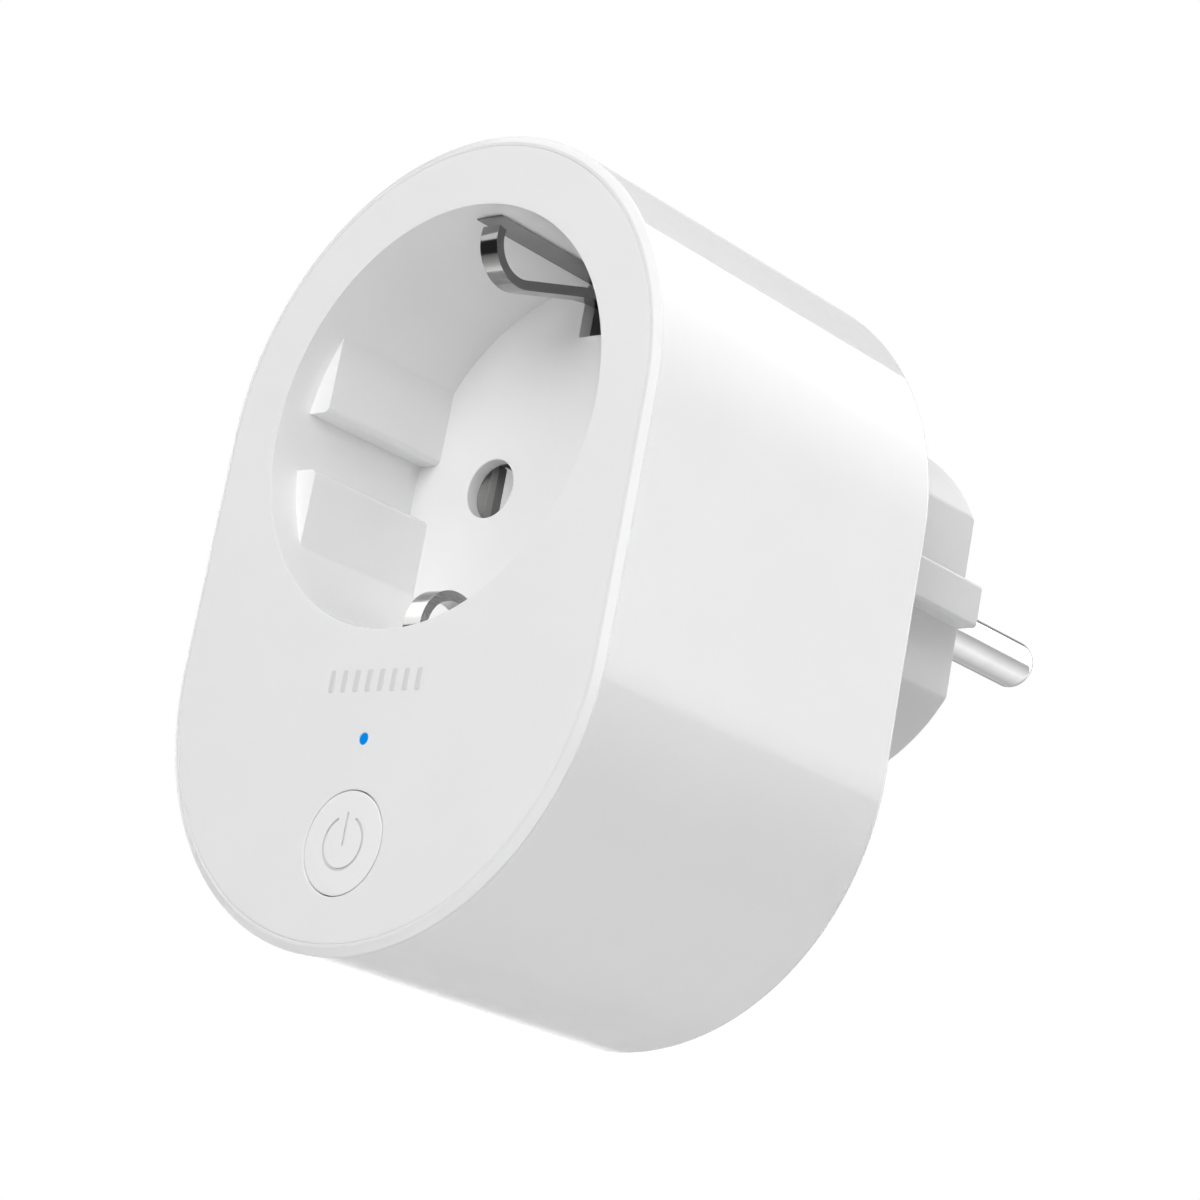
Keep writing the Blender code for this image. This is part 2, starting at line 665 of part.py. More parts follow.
def rear_earth_contact(name, sign):
    """The side contact in the plug's earth groove, passing inside through the rear plate."""
    path = [
        (EARTH_STRAP_BACK_Y + GAP, REAR_CONTACT_Z),
        (REAR_CONTACT_BEND_Y, REAR_CONTACT_Z),
        (REAR_CONTACT_END_Y, REAR_CONTACT_Z - REAR_CONTACT_DIP),
    ]
    return sprung_strip(name, path, EARTH_STRAP_THICKNESS, REAR_CONTACT_HALF_WIDTH, sign, nickel())


def earth_link():
    """The bar between the two side contacts, inside the rear plate."""
    half_height = EARTH_GROOVE_Z - 2 * GAP
    low = (-EARTH_STRAP_HALF_WIDTH, EARTH_LINK_BACK_Y - EARTH_STRAP_THICKNESS, -half_height)
    high = (EARTH_STRAP_HALF_WIDTH, EARTH_LINK_BACK_Y, half_height)
    box("earth_link", low, high, brass())


def earth_sleeve():
    """The female contact behind the hole for a wall socket's earth pin."""
    outer = FRENCH_HOLE_RADIUS + EARTH_SLEEVE_WALL
    profile = [
        (FRENCH_HOLE_RADIUS, EARTH_SLEEVE_FRONT_Y),
        (FRENCH_HOLE_RADIUS, EARTH_SLEEVE_BACK_Y),
        (outer, EARTH_SLEEVE_BACK_Y),
        (outer, EARTH_SLEEVE_FRONT_Y),
    ]
    turned("earth_sleeve", profile, 0, FRENCH_HOLE_Z, brass(), steps=16)


def earth_parts():
    for place, sign in (("top", 1), ("bottom", -1)):
        earth_plate("earth_plate_" + place, sign)
        earth_spring("earth_spring_" + place, sign)
        earth_strap("earth_strap_" + place, sign)
        rear_earth_contact("rear_earth_contact_" + place, sign)
    earth_link()
    earth_sleeve()


def socket_contact(pole, side):
    """A pin contact: a base on the board with a fixed outer jaw, and a sprung inner jaw."""
    x = side * PIN_X
    half = JAW_HALF_HEIGHT
    reach = JAW_INNER + JAW_THICKNESS
    low_x, high_x = sorted((x + side * JAW_INNER, x + side * reach))
    body = box("contact_" + pole, (low_x, JAW_FRONT_Y, -half), (high_x, CONTACT_BASE_Y, half), nickel())
    low = (x - reach, JAW_BACK_Y + GAP, -half)
    high = (x + reach, PART_FOOT_Y, half)
    add(body, box("contact_base_tool", low, high))
    cut(body, rod("contact_hole_tool", CONTACT_HOLE_RADIUS, CONTACT_HOLE_Y, 0.0, x, 0))
    low_x, high_x = sorted((x - side * JAW_INNER, x - side * reach))
    jaw = box(f"contact_{pole}_jaw", (low_x, JAW_FRONT_Y, -half), (high_x, JAW_BACK_Y, half), nickel())
    put_origin(jaw, (low_x + high_x) / 2, JAW_BACK_Y, 0)


# ---------------------------------------------------------------- button and boards


def power_button():
    """The round button with its engraved symbol, a retaining flange and a stem to the switch."""
    flange_y = COVER_BACK_Y + 2 * GAP
    flange_back_y = flange_y + BUTTON_FLANGE_THICKNESS
    profile = [
        (0, FRONT_Y),
        (BUTTON_RADIUS, FRONT_Y),
        (BUTTON_RADIUS, flange_y),
        (BUTTON_RADIUS + BUTTON_FLANGE, flange_y),
        (BUTTON_RADIUS + BUTTON_FLANGE, flange_back_y),
        (BUTTON_STEM_RADIUS, flange_back_y),
        (BUTTON_STEM_RADIUS, BUTTON_STEM_END_Y),
        (0, BUTTON_STEM_END_Y),
    ]
    button = turned("power_button", profile, 0, BUTTON_Z, white_plastic(), steps=32)
    cut(button, power_symbol_tool())
    return put_origin(button, 0, FRONT_Y, BUTTON_Z)


def tact_switch():
    """The push switch under the button: a square body and its plunger."""
    half = 3 * MM
    bore_radius = 1.8 * MM
    bore_floor = 0.4 * MM
    plunger_radius = 1.5 * MM
    plunger_length = 1.4 * MM
    low_y = -33.9 * MM
    high_y = CONTROL_BOARD_Y - GAP
    low = (-half, low_y, BUTTON_Z - half)
    high = (half, high_y, BUTTON_Z + half)
    body = box("switch_body", low, high, black_plastic())
    cut(body, rod("switch_bore_tool", bore_radius, low_y - BEYOND, high_y - bore_floor, 0, BUTTON_Z))
    tip_y = BUTTON_STEM_END_Y + GAP
    foot_y = tip_y + plunger_length
    plunger = rod("switch_plunger", plunger_radius, tip_y, foot_y, 0, BUTTON_Z, black_plastic())
    put_origin(plunger, 0, tip_y, BUTTON_Z)


def indicator():
    """The light pipe in the face and the lamp behind it."""
    lamp_half_x = 0.8 * MM
    lamp_half_z = 0.4 * MM
    lamp_y = CONTROL_BOARD_Y - 1.0 * MM
    pipe_foot_y = lamp_y - GAP
    shoulder_y = COVER_BACK_Y + GAP
    profile = [
        (0, FRONT_Y),
        (INDICATOR_RADIUS, FRONT_Y),
        (INDICATOR_RADIUS, shoulder_y),
        (LIGHT_PIPE_FOOT_RADIUS, shoulder_y),
        (LIGHT_PIPE_FOOT_RADIUS, pipe_foot_y),
        (0, pipe_foot_y),
    ]
    turned("light_pipe", profile, 0, INDICATOR_Z, material("clear_blue", (0.02, 0.26, 0.85), 0.1))
    low = (-lamp_half_x, lamp_y, INDICATOR_Z - lamp_half_z)
    high = (lamp_half_x, CONTROL_BOARD_Y - GAP, INDICATOR_Z + lamp_half_z)
    box("indicator_led", low, high, material("led_lens", (0.75, 0.8, 0.85), 0.2))


def board_outline(shoulder_x, top_z, tongue_x, foot_z):
    """A T-shaped board: wide above the shoulder, a narrow tongue between the lower bosses."""
    return [
        (-tongue_x, foot_z),
        (tongue_x, foot_z),
        (tongue_x, BOARD_SHOULDER_Z),
        (shoulder_x, BOARD_SHOULDER_Z),
        (shoulder_x, top_z),
        (-shoulder_x, top_z),
        (-shoulder_x, BOARD_SHOULDER_Z),
        (-tongue_x, BOARD_SHOULDER_Z),
    ]


def control_board():
    outline = board_outline(19.3 * MM, -22.3 * MM, 12.3 * MM, -42.2 * MM)
    prism("control_board", outline, CONTROL_BOARD_Y, CONTROL_BOARD_BACK_Y, board_green())


def power_board():
    """The board of the mains parts, open where plug pins and the lower earth strap pass."""
    tip_hole_radius = 3.2 * MM
    slot_half_x = EARTH_STRAP_HALF_WIDTH + 2 * GAP
    slot_half_z = 1.0 * MM
    outline = board_outline(20.3 * MM, 11.4 * MM, 12.0 * MM, -41.8 * MM)
    board = prism("power_board", outline, POWER_BOARD_Y, POWER_BOARD_BACK_Y, board_green())
    low_y = POWER_BOARD_Y - BEYOND
    high_y = POWER_BOARD_BACK_Y + BEYOND
    tip_holes = rods("tip_hole_tool", tip_hole_radius, low_y, high_y, pin_places())
    low = (-slot_half_x, low_y, -EARTH_STRAP_Z - slot_half_z)
    high = (slot_half_x, high_y, -EARTH_STRAP_Z + slot_half_z)
    return cut(board, tip_holes, box("strap_slot_tool", low, high))


def board_header():
    """The pin row that joins the two boards: an insulating bar and four square pins."""
    x = -17.3 * MM
    low_z, high_z = -31.6 * MM, -23.6 * MM
    bar_front_y, bar_back_y = -20.5 * MM, -17.5 * MM
    bar_half = 1.25 * MM
    pin_half = 0.32 * MM
    pin_count = 4
    low = (x - bar_half, bar_front_y, low_z)
    high = (x + bar_half, bar_back_y, high_z)
    bar = box("board_header", low, high, black_plastic())
    pins = []
    for i in range(pin_count):
        z = low_z + (i + 0.5) * (high_z - low_z) / pin_count
        low = (x - pin_half, CONTROL_BOARD_BACK_Y + GAP, z - pin_half)
        high = (x + pin_half, PART_FOOT_Y, z + pin_half)
        pins.append((low, high))
    return add(bar, boxes("header_pin_tool", pins))


def wifi_module():
    """The radio board behind the control board, and the shield can on it."""
    low_x, high_x = -11.5 * MM, 6.5 * MM
    low_z, high_z = -34.4 * MM, -22.6 * MM
    aerial_width = 5.0 * MM  # left bare beside the shield
    margin = 0.7 * MM
    shield_height = 2.2 * MM
    front_y = CONTROL_BOARD_BACK_Y + GAP
    back_y = front_y + 0.8 * MM
    box("wifi_board", (low_x, front_y, low_z), (high_x, back_y, high_z), black_plastic())
    low = (low_x + aerial_width, back_y + GAP, low_z + margin)
    high = (high_x - margin, back_y + GAP + shield_height, high_z - margin)
    box("wifi_shield", low, high, steel())


# ---------------------------------------------------------------- relay


def relay_case():
    low = (RELAY_X - RELAY_HALF_X, PART_FOOT_Y - RELAY_BASE, RELAY_Z - RELAY_HALF_Z)
    high = (RELAY_X + RELAY_HALF_X, PART_FOOT_Y, RELAY_Z + RELAY_HALF_Z)
    box("relay_base", low, high, black_plastic())
    low = (low[0], RELAY_TOP_Y, low[2])
    high = (high[0], RELAY_COVER_FOOT_Y, high[2])
    cover = box("relay_cover", low, high, material("relay_blue", (0.03, 0.11, 0.32), 0.35))
    room_low = [value + RELAY_WALL for value in low]
    room_high = (high[0] - RELAY_WALL, high[1] + BEYOND, high[2] - RELAY_WALL)
    cut(cover, box("relay_room_tool", room_low, room_high))


def relay_coil():
    """The winding between the bobbin's two flanges."""
    winding_radius = COIL_RADIUS - 0.6 * MM
    profile = [
        (COIL_BORE_RADIUS, COIL_BACK_Y),
        (COIL_RADIUS, COIL_BACK_Y),
        (COIL_RADIUS, COIL_BACK_Y - COIL_FLANGE),
        (winding_radius, COIL_BACK_Y - COIL_FLANGE),
        (winding_radius, COIL_FRONT_Y + COIL_FLANGE),
        (COIL_RADIUS, COIL_FRONT_Y + COIL_FLANGE),
        (COIL_RADIUS, COIL_FRONT_Y),
        (COIL_BORE_RADIUS, COIL_FRONT_Y),
    ]
    copper = material("copper", (0.72, 0.3, 0.12), 0.3, 1.0)
    turned("relay_coil", profile, RELAY_X, COIL_Z, copper, steps=20)


def relay_core():
    """The core through the coil. Its head stops the armature."""
    core_radius = COIL_BORE_RADIUS - GAP
    head_radius = 2.8 * MM
    head_thickness = 0.6 * MM
    head_back_y = COIL_FRONT_Y - GAP
    head_front_y = head_back_y - head_thickness
    profile = [
        (0, head_front_y),
        (head_radius, head_front_y),
        (head_radius, head_back_y),
        (core_radius, head_back_y),
        (core_radius, COIL_BACK_Y),
        (0, COIL_BACK_Y),
    ]
    turned("relay_core", profile, RELAY_X, COIL_Z, steel(), steps=16)


def relay_yoke():
    """The L-shaped frame: one leg under the coil, one upright leg that carries the armature."""
    middle = YOKE_THICKNESS / 2
    foot_y = RELAY_COVER_FOOT_Y - GAP - middle
    path = [(foot_y, ARMATURE_TOP_Z), (foot_y, YOKE_Z + middle), (YOKE_FRONT_Y, YOKE_Z + middle)]
    low_x, high_x = RELAY_X - YOKE_HALF_WIDTH, RELAY_X + YOKE_HALF_WIDTH
    prism("relay_yoke", strip(path, YOKE_THICKNESS), low_x, high_x, steel(), "X")


def relay_armature():
    """The hinged plate over the yoke's end."""
    low = (RELAY_X - YOKE_HALF_WIDTH, ARMATURE_FRONT_Y, YOKE_Z)
    high = (RELAY_X + YOKE_HALF_WIDTH, ARMATURE_FRONT_Y + ARMATURE_THICKNESS, ARMATURE_TOP_Z)
    armature = box("relay_armature", low, high, steel())
    put_origin(armature, RELAY_X, ARMATURE_PIVOT_Y, ARMATURE_PIVOT_Z)


def contact_button(name, face_z, root_z):
    """A contact rivet's head between two levels, as a tool that joins a blade."""
    low_z, high_z = sorted((face_z, root_z))
    low = (RELAY_X - BUTTON_HEAD_HALF_WIDTH, BUTTON_HEAD_FRONT_Y, low_z)
    high = (RELAY_X + BUTTON_HEAD_HALF_WIDTH, BUTTON_HEAD_FRONT_Y + 2 * BUTTON_HEAD_HALF_WIDTH, high_z)
    return box(name, low, high)


def relay_contacts():
    """The blade that the armature carries, and the fixed contact that it meets."""
    blade_y = ARMATURE_FRONT_Y - GAP - BLADE_THICKNESS / 2
    blade_end_y = BUTTON_HEAD_FRONT_Y + 2.4 * MM
    path = [(blade_y, COIL_Z), (blade_y, BLADE_Z), (blade_end_y, BLADE_Z)]
    low_x, high_x = RELAY_X - BLADE_HALF_WIDTH, RELAY_X + BLADE_HALF_WIDTH
    outline = strip(path, BLADE_THICKNESS)
    blade = prism("relay_moving_contact", outline, low_x, high_x, brass(), "X")
    add(blade, contact_button("moving_button_tool", BLADE_Z - BUTTON_HEAD, BLADE_Z + OVERLAP))
    put_origin(blade, RELAY_X, ARMATURE_PIVOT_Y, ARMATURE_PIVOT_Z)
    post_half = 0.3 * MM
    low = (low_x, BUTTON_HEAD_FRONT_Y - 0.6 * MM, POST_Z - post_half)
    high = (high_x, RELAY_COVER_FOOT_Y - GAP, POST_Z + post_half)
    post = box("relay_fixed_contact", low, high, brass())
    add(post, contact_button("fixed_button_tool", POST_Z + BUTTON_HEAD, POST_Z))


# ---------------------------------------------------------------- parts on the power board


def can_capacitor(name, radius, front_y, x, z):
    """A radial can standing on the power board, with its crimp groove."""
    groove_y = PART_FOOT_Y - 2 * MM
    groove_half = 0.5 * MM
    groove_depth = 0.4 * MM
    profile = [
        (0, front_y),
        (radius, front_y),
        (radius, groove_y - groove_half),
        (radius - groove_depth, groove_y),
        (radius, groove_y + groove_half),
        (radius, PART_FOOT_Y),
        (0, PART_FOOT_Y),
    ]
    turned(name, profile, x, z, material("capacitor_sleeve", (0.03, 0.03, 0.05), 0.4), steps=20)


def transformer():
    """The small mains transformer: a taped winding in a ferrite core."""
    half_x = 5.5 * MM
    top_y = -17.5 * MM
    low_z, high_z = -16.4 * MM, -7.2 * MM
    core_half_x = 7.0 * MM
    core_low_y, core_high_y = -18.4 * MM, -9.0 * MM
    core_half_z = 2.2 * MM
    middle_z = (low_z + high_z) / 2
    yellow = material("winding_tape", (0.75, 0.6, 0.12), 0.5)
    winding = box("transformer", (-half_x, top_y, low_z), (half_x, PART_FOOT_Y, high_z), yellow)
    low = (-core_half_x, core_low_y, middle_z - core_half_z)
    high = (core_half_x, core_high_y, middle_z + core_half_z)
    return add(winding, box("transformer_core_tool", low, high))


def filter_capacitor():
    yellow = material("film_yellow", (0.8, 0.58, 0.08), 0.4)
    low = (8.6 * MM, -18.3 * MM, -19.0 * MM)
    high = (17.8 * MM, PART_FOOT_Y, -8.6 * MM)
    box("filter_capacitor", low, high, yellow)


def varistor():
    """A disc standing on its edge."""
    radius = 4.4 * MM
    low_x, high_x = -17.6 * MM, -13.8 * MM
    z = -13.8 * MM
    disc = circle(radius, PART_FOOT_Y - radius - 0.4 * MM, z, 20)
    prism("varistor", disc, low_x, high_x, material("varistor_blue", (0.05, 0.2, 0.5), 0.4), "X")


def fuse():
    radius = 1.7 * MM
    low_x, high_x = -13.0 * MM, -8.0 * MM
    z = -13.5 * MM
    tube = circle(radius, PART_FOOT_Y - radius - 0.7 * MM, z, 12)
    prism("fuse", tube, low_x, high_x, material("fuse_ceramic", (0.75, 0.74, 0.7), 0.2), "X")


def chip(name, low_x, low_z, width, height, base_y, top_y):
    """A black chip between two levels, its corner at low_x and low_z."""
    low_y, high_y = sorted((base_y, top_y))
    low = (low_x, low_y, low_z)
    high = (low_x + width, high_y, low_z + height)
    box(name, low, high, black_plastic())


def shunt():
    """The measuring resistor: a bent metal strap."""
    thickness = 0.8 * MM
    rise = 3.0 * MM
    low_z, high_z = -31.6 * MM, -27.6 * MM
    low_x, high_x = 14.4 * MM, 17.6 * MM
    path = [
        (PART_FOOT_Y, low_z),
        (PART_FOOT_Y - rise, low_z),
        (PART_FOOT_Y - rise, high_z),
        (PART_FOOT_Y, high_z),
    ]
    prism("shunt", strip(path, thickness), low_x, high_x, steel(), "X")


def power_parts():
    can_capacitor("capacitor_high_voltage", 4.0 * MM, -21.5 * MM, 8.5 * MM, -28.0 * MM)
    can_capacitor("capacitor_output", 3.2 * MM, -18.5 * MM, 8.2 * MM, -36.4 * MM)
    transformer()
    filter_capacitor()
    varistor()
    fuse()
    shunt()
    thickness = 1.6 * MM
    back_y = POWER_BOARD_BACK_Y + GAP
    chip("bridge_rectifier", 6.0 * MM, -30.0 * MM, 5.0 * MM, 4.5 * MM, back_y, back_y + thickness)
    foot_y = PART_FOOT_Y
    chip("metering_chip", 14.0 * MM, -26.2 * MM, 4.6 * MM, 4.6 * MM, foot_y, foot_y - thickness)


def build():
    clear_scene()
    add_housing_frame()
    housing_shell()
    front_cover()
    rear_cover()
    cover_screws()
    plug_pins()
    busbars()
    earth_parts()
    socket_contact("live", 1)
    socket_contact("neutral", -1)
    power_button()
    tact_switch()
    indicator()
    control_board()
    power_board()
    board_header()
    wifi_module()
    relay_case()
    relay_coil()
    relay_core()
    relay_yoke()
    relay_armature()
    relay_contacts()
    power_parts()


build()
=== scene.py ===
"""The smart plug's visual model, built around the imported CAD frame.

Axes are the frame's: +Z up, +Y towards the wall, +X right seen from the front. Lengths are millimetres
up to the stage, which is in metres, like Blender's own units. to_object() and extent() convert.
"""

from math import acos, asin, cos, hypot, inf, pi, radians, sin, tan

import bmesh
import bpy
from mathutils import Matrix, Vector
from mathutils.geometry import tessellate_polygon


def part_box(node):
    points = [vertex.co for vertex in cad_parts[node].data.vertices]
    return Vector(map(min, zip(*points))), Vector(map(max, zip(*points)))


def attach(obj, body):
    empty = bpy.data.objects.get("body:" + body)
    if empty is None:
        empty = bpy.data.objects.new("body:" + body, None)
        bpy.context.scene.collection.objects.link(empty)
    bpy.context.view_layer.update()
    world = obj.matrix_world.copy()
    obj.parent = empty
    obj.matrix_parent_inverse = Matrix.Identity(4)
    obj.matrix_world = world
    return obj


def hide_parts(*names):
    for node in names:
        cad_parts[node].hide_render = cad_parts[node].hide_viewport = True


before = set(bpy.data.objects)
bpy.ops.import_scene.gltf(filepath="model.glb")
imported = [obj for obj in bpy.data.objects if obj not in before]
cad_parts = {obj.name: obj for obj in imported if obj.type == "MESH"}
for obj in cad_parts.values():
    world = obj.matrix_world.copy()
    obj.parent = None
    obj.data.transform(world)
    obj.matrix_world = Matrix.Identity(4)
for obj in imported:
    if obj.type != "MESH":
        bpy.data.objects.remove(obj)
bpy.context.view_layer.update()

MM = 0.001


def extent(node):
    """A CAD node's low corner, high corner and middle."""
    low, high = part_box(node)
    return low / MM, high / MM, (low + high) / 2 / MM


# Places that the frame gives.
SHELL_LOW, SHELL_HIGH, (_, _, OUTLINE_Z) = extent("housing_shell")
FRONT_Y, REAR_Y = SHELL_LOW.y, SHELL_HIGH.y
HALF_WIDTH = SHELL_HIGH.x
HALF_STRAIGHT = (SHELL_HIGH.z - SHELL_LOW.z) / 2 - HALF_WIDTH
PLUG_END_Y = extent("rear_cover")[1].y
PIN_LOW, PIN_HIGH, (PIN_X, _, _) = extent("pin_live")
_, BUTTON_HIGH, (_, _, BUTTON_Z) = extent("power_button")
_, LIGHT_HIGH, (_, _, LIGHT_Z) = extent("light_pipe")

# Housing shell and covers.
WALL = 1.8
RIM = 1.0
RIM_CHAMFER = 0.66
RIM_SOFT = 0.2
RIM_FLATNESS = 0.62  # the chamfer's depth over its width
PARTING_LINE = 0.07
REAR_ROUND = 1.1
SEAM = 0.015
SEAM_ROUND = 0.02
FLAT_MARGIN = 0.2  # a ring of this width keeps the shading of a flat face flat
COVER = 1.6
COVER_BACK_Y = FRONT_Y + COVER
REAR_PLATE = 2.0
ARC_STEPS = 96

# Socket recess.
RECESS_RADIUS = 19.5
CUP_RADIUS = 21.0
FLOOR_Y = FRONT_Y + 17.8
FLOOR_BACK_Y = FLOOR_Y + 1.35
MOUTH_ROUND = 0.05
GUIDE_FACE_X = 16.8
GUIDE_SLOT_Z = 2.75
GUIDE_FRONT_Y = FRONT_Y + 3.15
GUIDE_SINK = 0.7
GUIDE_EDGE_ROUND = 0.6
PIN_HOLE_RADIUS = 2.85
PIN_HOLE_ROUND = 0.12
EARTH_SLOT_HALF_WIDTH = 1.8
EARTH_SLOT_LOW = 14.1
EARTH_SLOT_HIGH = 19.32
EARTH_SLOT_CORNER = 0.12
EARTH_PLATE_LOW = 19.3
EARTH_PLATE_HIGH = 19.42
EARTH_PLATE_HALF_WIDTH = 1.57
SPRING_BOW_RADIUS = 3.32
SPRING_BOW_ANGLES = (radians(168), radians(287))
SPRING_BOW_Y = FRONT_Y + 6.52
SPRING_BOW_Z = 17.96
SPRING_LEG = ((FRONT_Y + 16.0, 17.42), (FRONT_Y + 20.6, 17.8))
SPRING_THICKNESS = 0.92
SPRING_HALF_WIDTH = 1.05

# Button, light and raised bars.
BUTTON_RADIUS = 4.53
BUTTON_GAP = 0.1
BUTTON_ROUND = 0.08
BUTTON_FLANGE = 0.9
BUTTON_FLANGE_GAP = 0.6
BUTTON_FLANGE_THICKNESS = 0.6
BUTTON_STEM_RADIUS = 1.2
SYMBOL_RADIUS = 2.3
SYMBOL_HALF_LINE = 0.12
SYMBOL_DEPTH = 0.16
SYMBOL_ROUND = 0.03
SYMBOL_OPENING = radians(29)
SYMBOL_BAR_LOW = -0.25
SYMBOL_BAR_HIGH = 2.65
LIGHT_RADIUS = 0.51
LIGHT_GAP = 0.04
LIGHT_HOLE_ROUND = 0.02
BAR_COUNT = 8
BAR_Z = -24.05
BAR_HALF_HEIGHT = 1.0
BAR_HALF_WIDTH = 0.33
BAR_PITCH = 1.5
BAR_RAISED = 0.06
BAR_ROUND = 0.05
BAR_END_ROUND = 0.2

# Plug.
PLUG_RADIUS = 18.1
PLUG_FLAT_X = 15.8
PLUG_RIB_X = 18.0
PLUG_RIB_HALF_Z = 2.1
PLUG_EDGE_ROUND = 0.35
RIB_CORNER_ROUND = 0.4
EARTH_GROOVE_HALF_WIDTH = 3.8
EARTH_GROOVE_Z = 16.3
EARTH_STRAP_HALF_WIDTH = 3.2
PLUG_HOLLOW_RADIUS = 14
PLUG_END_WALL = 1.8
TOOL_CORNER = 0.15
FRENCH_HOLE_Z = 10.0
FRENCH_HOLE_RADIUS = 2.7
PIN_RADIUS = 2.4
PIN_TAIL_RADIUS = 1.5
PIN_COLLAR_RADIUS = 3.2
PIN_TIP_ROUND = 1.9

# Cover screws.
SCREW_PLACES = ("top_left", "top_right", "bottom_left", "bottom_right")
SCREW_RADIUS = 1.1
SCREW_ROOT_RADIUS = 0.82
SCREW_PITCH = 0.8
SCREW_HEAD_RADIUS = 2.0
SCREW_HEAD_DEPTH = 1.2
SCREW_HEAD_ROUND = 0.35
CROSS_HALF_LENGTH = 1.15
CROSS_HALF_WIDTH = 0.26
CROSS_DEPTH = 0.75
CROSS_TAPER = 0.5
SCREW_BORE_RADIUS = 1.2
SCREW_SEAT_RADIUS = 2.15

# Live and neutral contacts. The lip's path is (x, y) points.
BOOT_X = (11.52, 12.38)
BOOT_Y = (-36.2, -28.6)
BOOT_HALF_HEIGHT = 3.48
LIP_PATH = ((12.75, -38.3), (12.25, -37.6), (11.95, -36.9), (11.87, -36.0))
LIP_THICKNESS = 0.74
LIP_HALF_HEIGHT = 3.3

# Small parts on the boards: (x, z) or (x, z, upright).
CAPACITOR_LEADS = ((7.0, -28.0), (10.0, -28.0), (7.2, -36.4), (9.2, -36.4))
POWER_CHIPS = ((-15.5, -24.0, True), (-15.5, -27.0, True), (-13.5, -21.0, False), (6.5, -21.5, False))
CONTROL_CHIPS = (
    (-7.5, -37.0, True), (-7.5, -40.0, True), (8.0, -26.0, False), (8.0, -29.0, False),
    (12.0, -27.0, True), (7.2, -38.5, False), (-10.5, -27.0, True), (-13.0, -27.0, True),
)

# Meshes.
BEVEL = dict(profile=0.5, affect="EDGES", clamp_overlap=True)
SHARP_ANGLE = radians(35)
CARRIED_ANGLE = radians(32)
WELD_REACH = 0.002
NORMAL_WEIGHT = 80


# ---------------- outlines


def arc(radius, start, end, x=0.0, z=0.0, steps=12):
    """Points from one angle to another, both ends included."""
    angles = [start + (end - start) * i / steps for i in range(steps + 1)]
    return [(x + radius * cos(a), z + radius * sin(a)) for a in angles]


def circle(radius, x=0.0, z=0.0, steps=64):
    return arc(radius, 0, 2 * pi, x, z, steps)[:-1]


def stadium(inset):
    """The housing's outline, moved inwards by inset."""
    radius = HALF_WIDTH - inset
    upper = arc(radius, 0, pi, 0, OUTLINE_Z + HALF_STRAIGHT, ARC_STEPS)
    return upper + arc(radius, pi, 2 * pi, 0, OUTLINE_Z - HALF_STRAIGHT, ARC_STEPS)


def rounded_box(half_x, half_z, radius, x, z, steps=5):
    """A rectangle with round corners about (x, z)."""
    outline = []
    for i, (side_x, side_z) in enumerate(((1, 1), (-1, 1), (-1, -1), (1, -1))):
        corner_x = x + side_x * (half_x - radius)
        corner_z = z + side_z * (half_z - radius)
        outline += arc(radius, i * pi / 2, (i + 1) * pi / 2, corner_x, corner_z, steps)
    return outline


def quarter(inset, y, radius, inward, steps=6, margin=0.0):
    """A quarter round, as (inset, y) pairs, from the face at y to the side wall at inset.

    A margin adds a ring on the flat face, which keeps the face's shading flat.
    """
    section = [(inset + radius + margin, y)] if margin else []
    for step in range(steps + 1):
        turn = pi / 2 * step / steps
        across = inset + radius * (1 - sin(turn))
        section.append((across, y + inward * radius * (1 - cos(turn))))
    return section


def strip(path, thickness):
    """The closed outline of a bent strip whose middle line is path, with mitred bends."""
    points = [Vector(p) for p in path]
    left, right = [], []
    for i, point in enumerate(points):
        before = (point - points[i - 1]).normalized() if i else None
        after = (points[i + 1] - point).normalized() if i + 1 < len(points) else None
        along = ((before or after) + (after or before)).normalized()
        normal = Vector((-along.y, along.x))
        lead = after or before
        stretch = 1 / max(normal.dot(Vector((-lead.y, lead.x))), 0.5)
        offset = normal * thickness / 2 * stretch
        left.append(tuple(point + offset))
        right.append(tuple(point - offset))
    return left + right[::-1]


def curved(points, steps, share, limit=inf):
    """The path with a Bezier curve at each inner corner, starting up to share of each leg away."""
    corners = [Vector(p) for p in points]
    path = [corners[0]]
    for before, corner, after in zip(corners, corners[1:], corners[2:]):
        reach = min(limit, (corner - before).length * share, (after - corner).length * share)
        start = corner + (before - corner).normalized() * reach
        end = corner + (after - corner).normalized() * reach
        for i in range(steps + 1):
            t = i / steps
            path.append(start * (1 - t) ** 2 + corner * 2 * t * (1 - t) + end * t**2)
    path.append(corners[-1])
    return [tuple(p) for p in path]


def smooth_path(points, steps=8):
    return curved(points, steps, 1 / 3)


def rounded_profile(points, radius, steps=3):
    """A turned profile with its inner corners rounded."""
    return curved(points, steps, 1 / 2.1, radius)


def rounded_end(radius, *round_settings):
    """A quarter round on the end of a turned profile, as (radius, y) pairs from the face outwards."""
    return [(radius - inset, y) for inset, y in quarter(0, *round_settings)]


# ---------------- meshes


def add_ring(bm, outline, y):
    return [bm.verts.new((x, y, z)) for x, z in outline]


def bridge(bm, near, far):
    count = len(near)
    for i in range(count):
        j = (i + 1) % count
        bm.faces.new((near[i], far[i], far[j], near[j]))


def loft(bm, shape, section):
    """Rings of shape(inset) at each (inset, y) of the section, joined in order. Returns the end rings."""
    rings = [add_ring(bm, shape(inset), y) for inset, y in section]
    for near, far in zip(rings, rings[1:]):
        bridge(bm, near, far)
    return rings[0], rings[-1]


def fill(bm, *rings):
    """A flat face inside the first ring, left open inside the others."""
    verts = [vert for ring in rings for vert in ring]
    for triangle in tessellate_polygon([[vert.co for vert in ring] for ring in rings]):
        bm.faces.new([verts[i] for i in triangle])


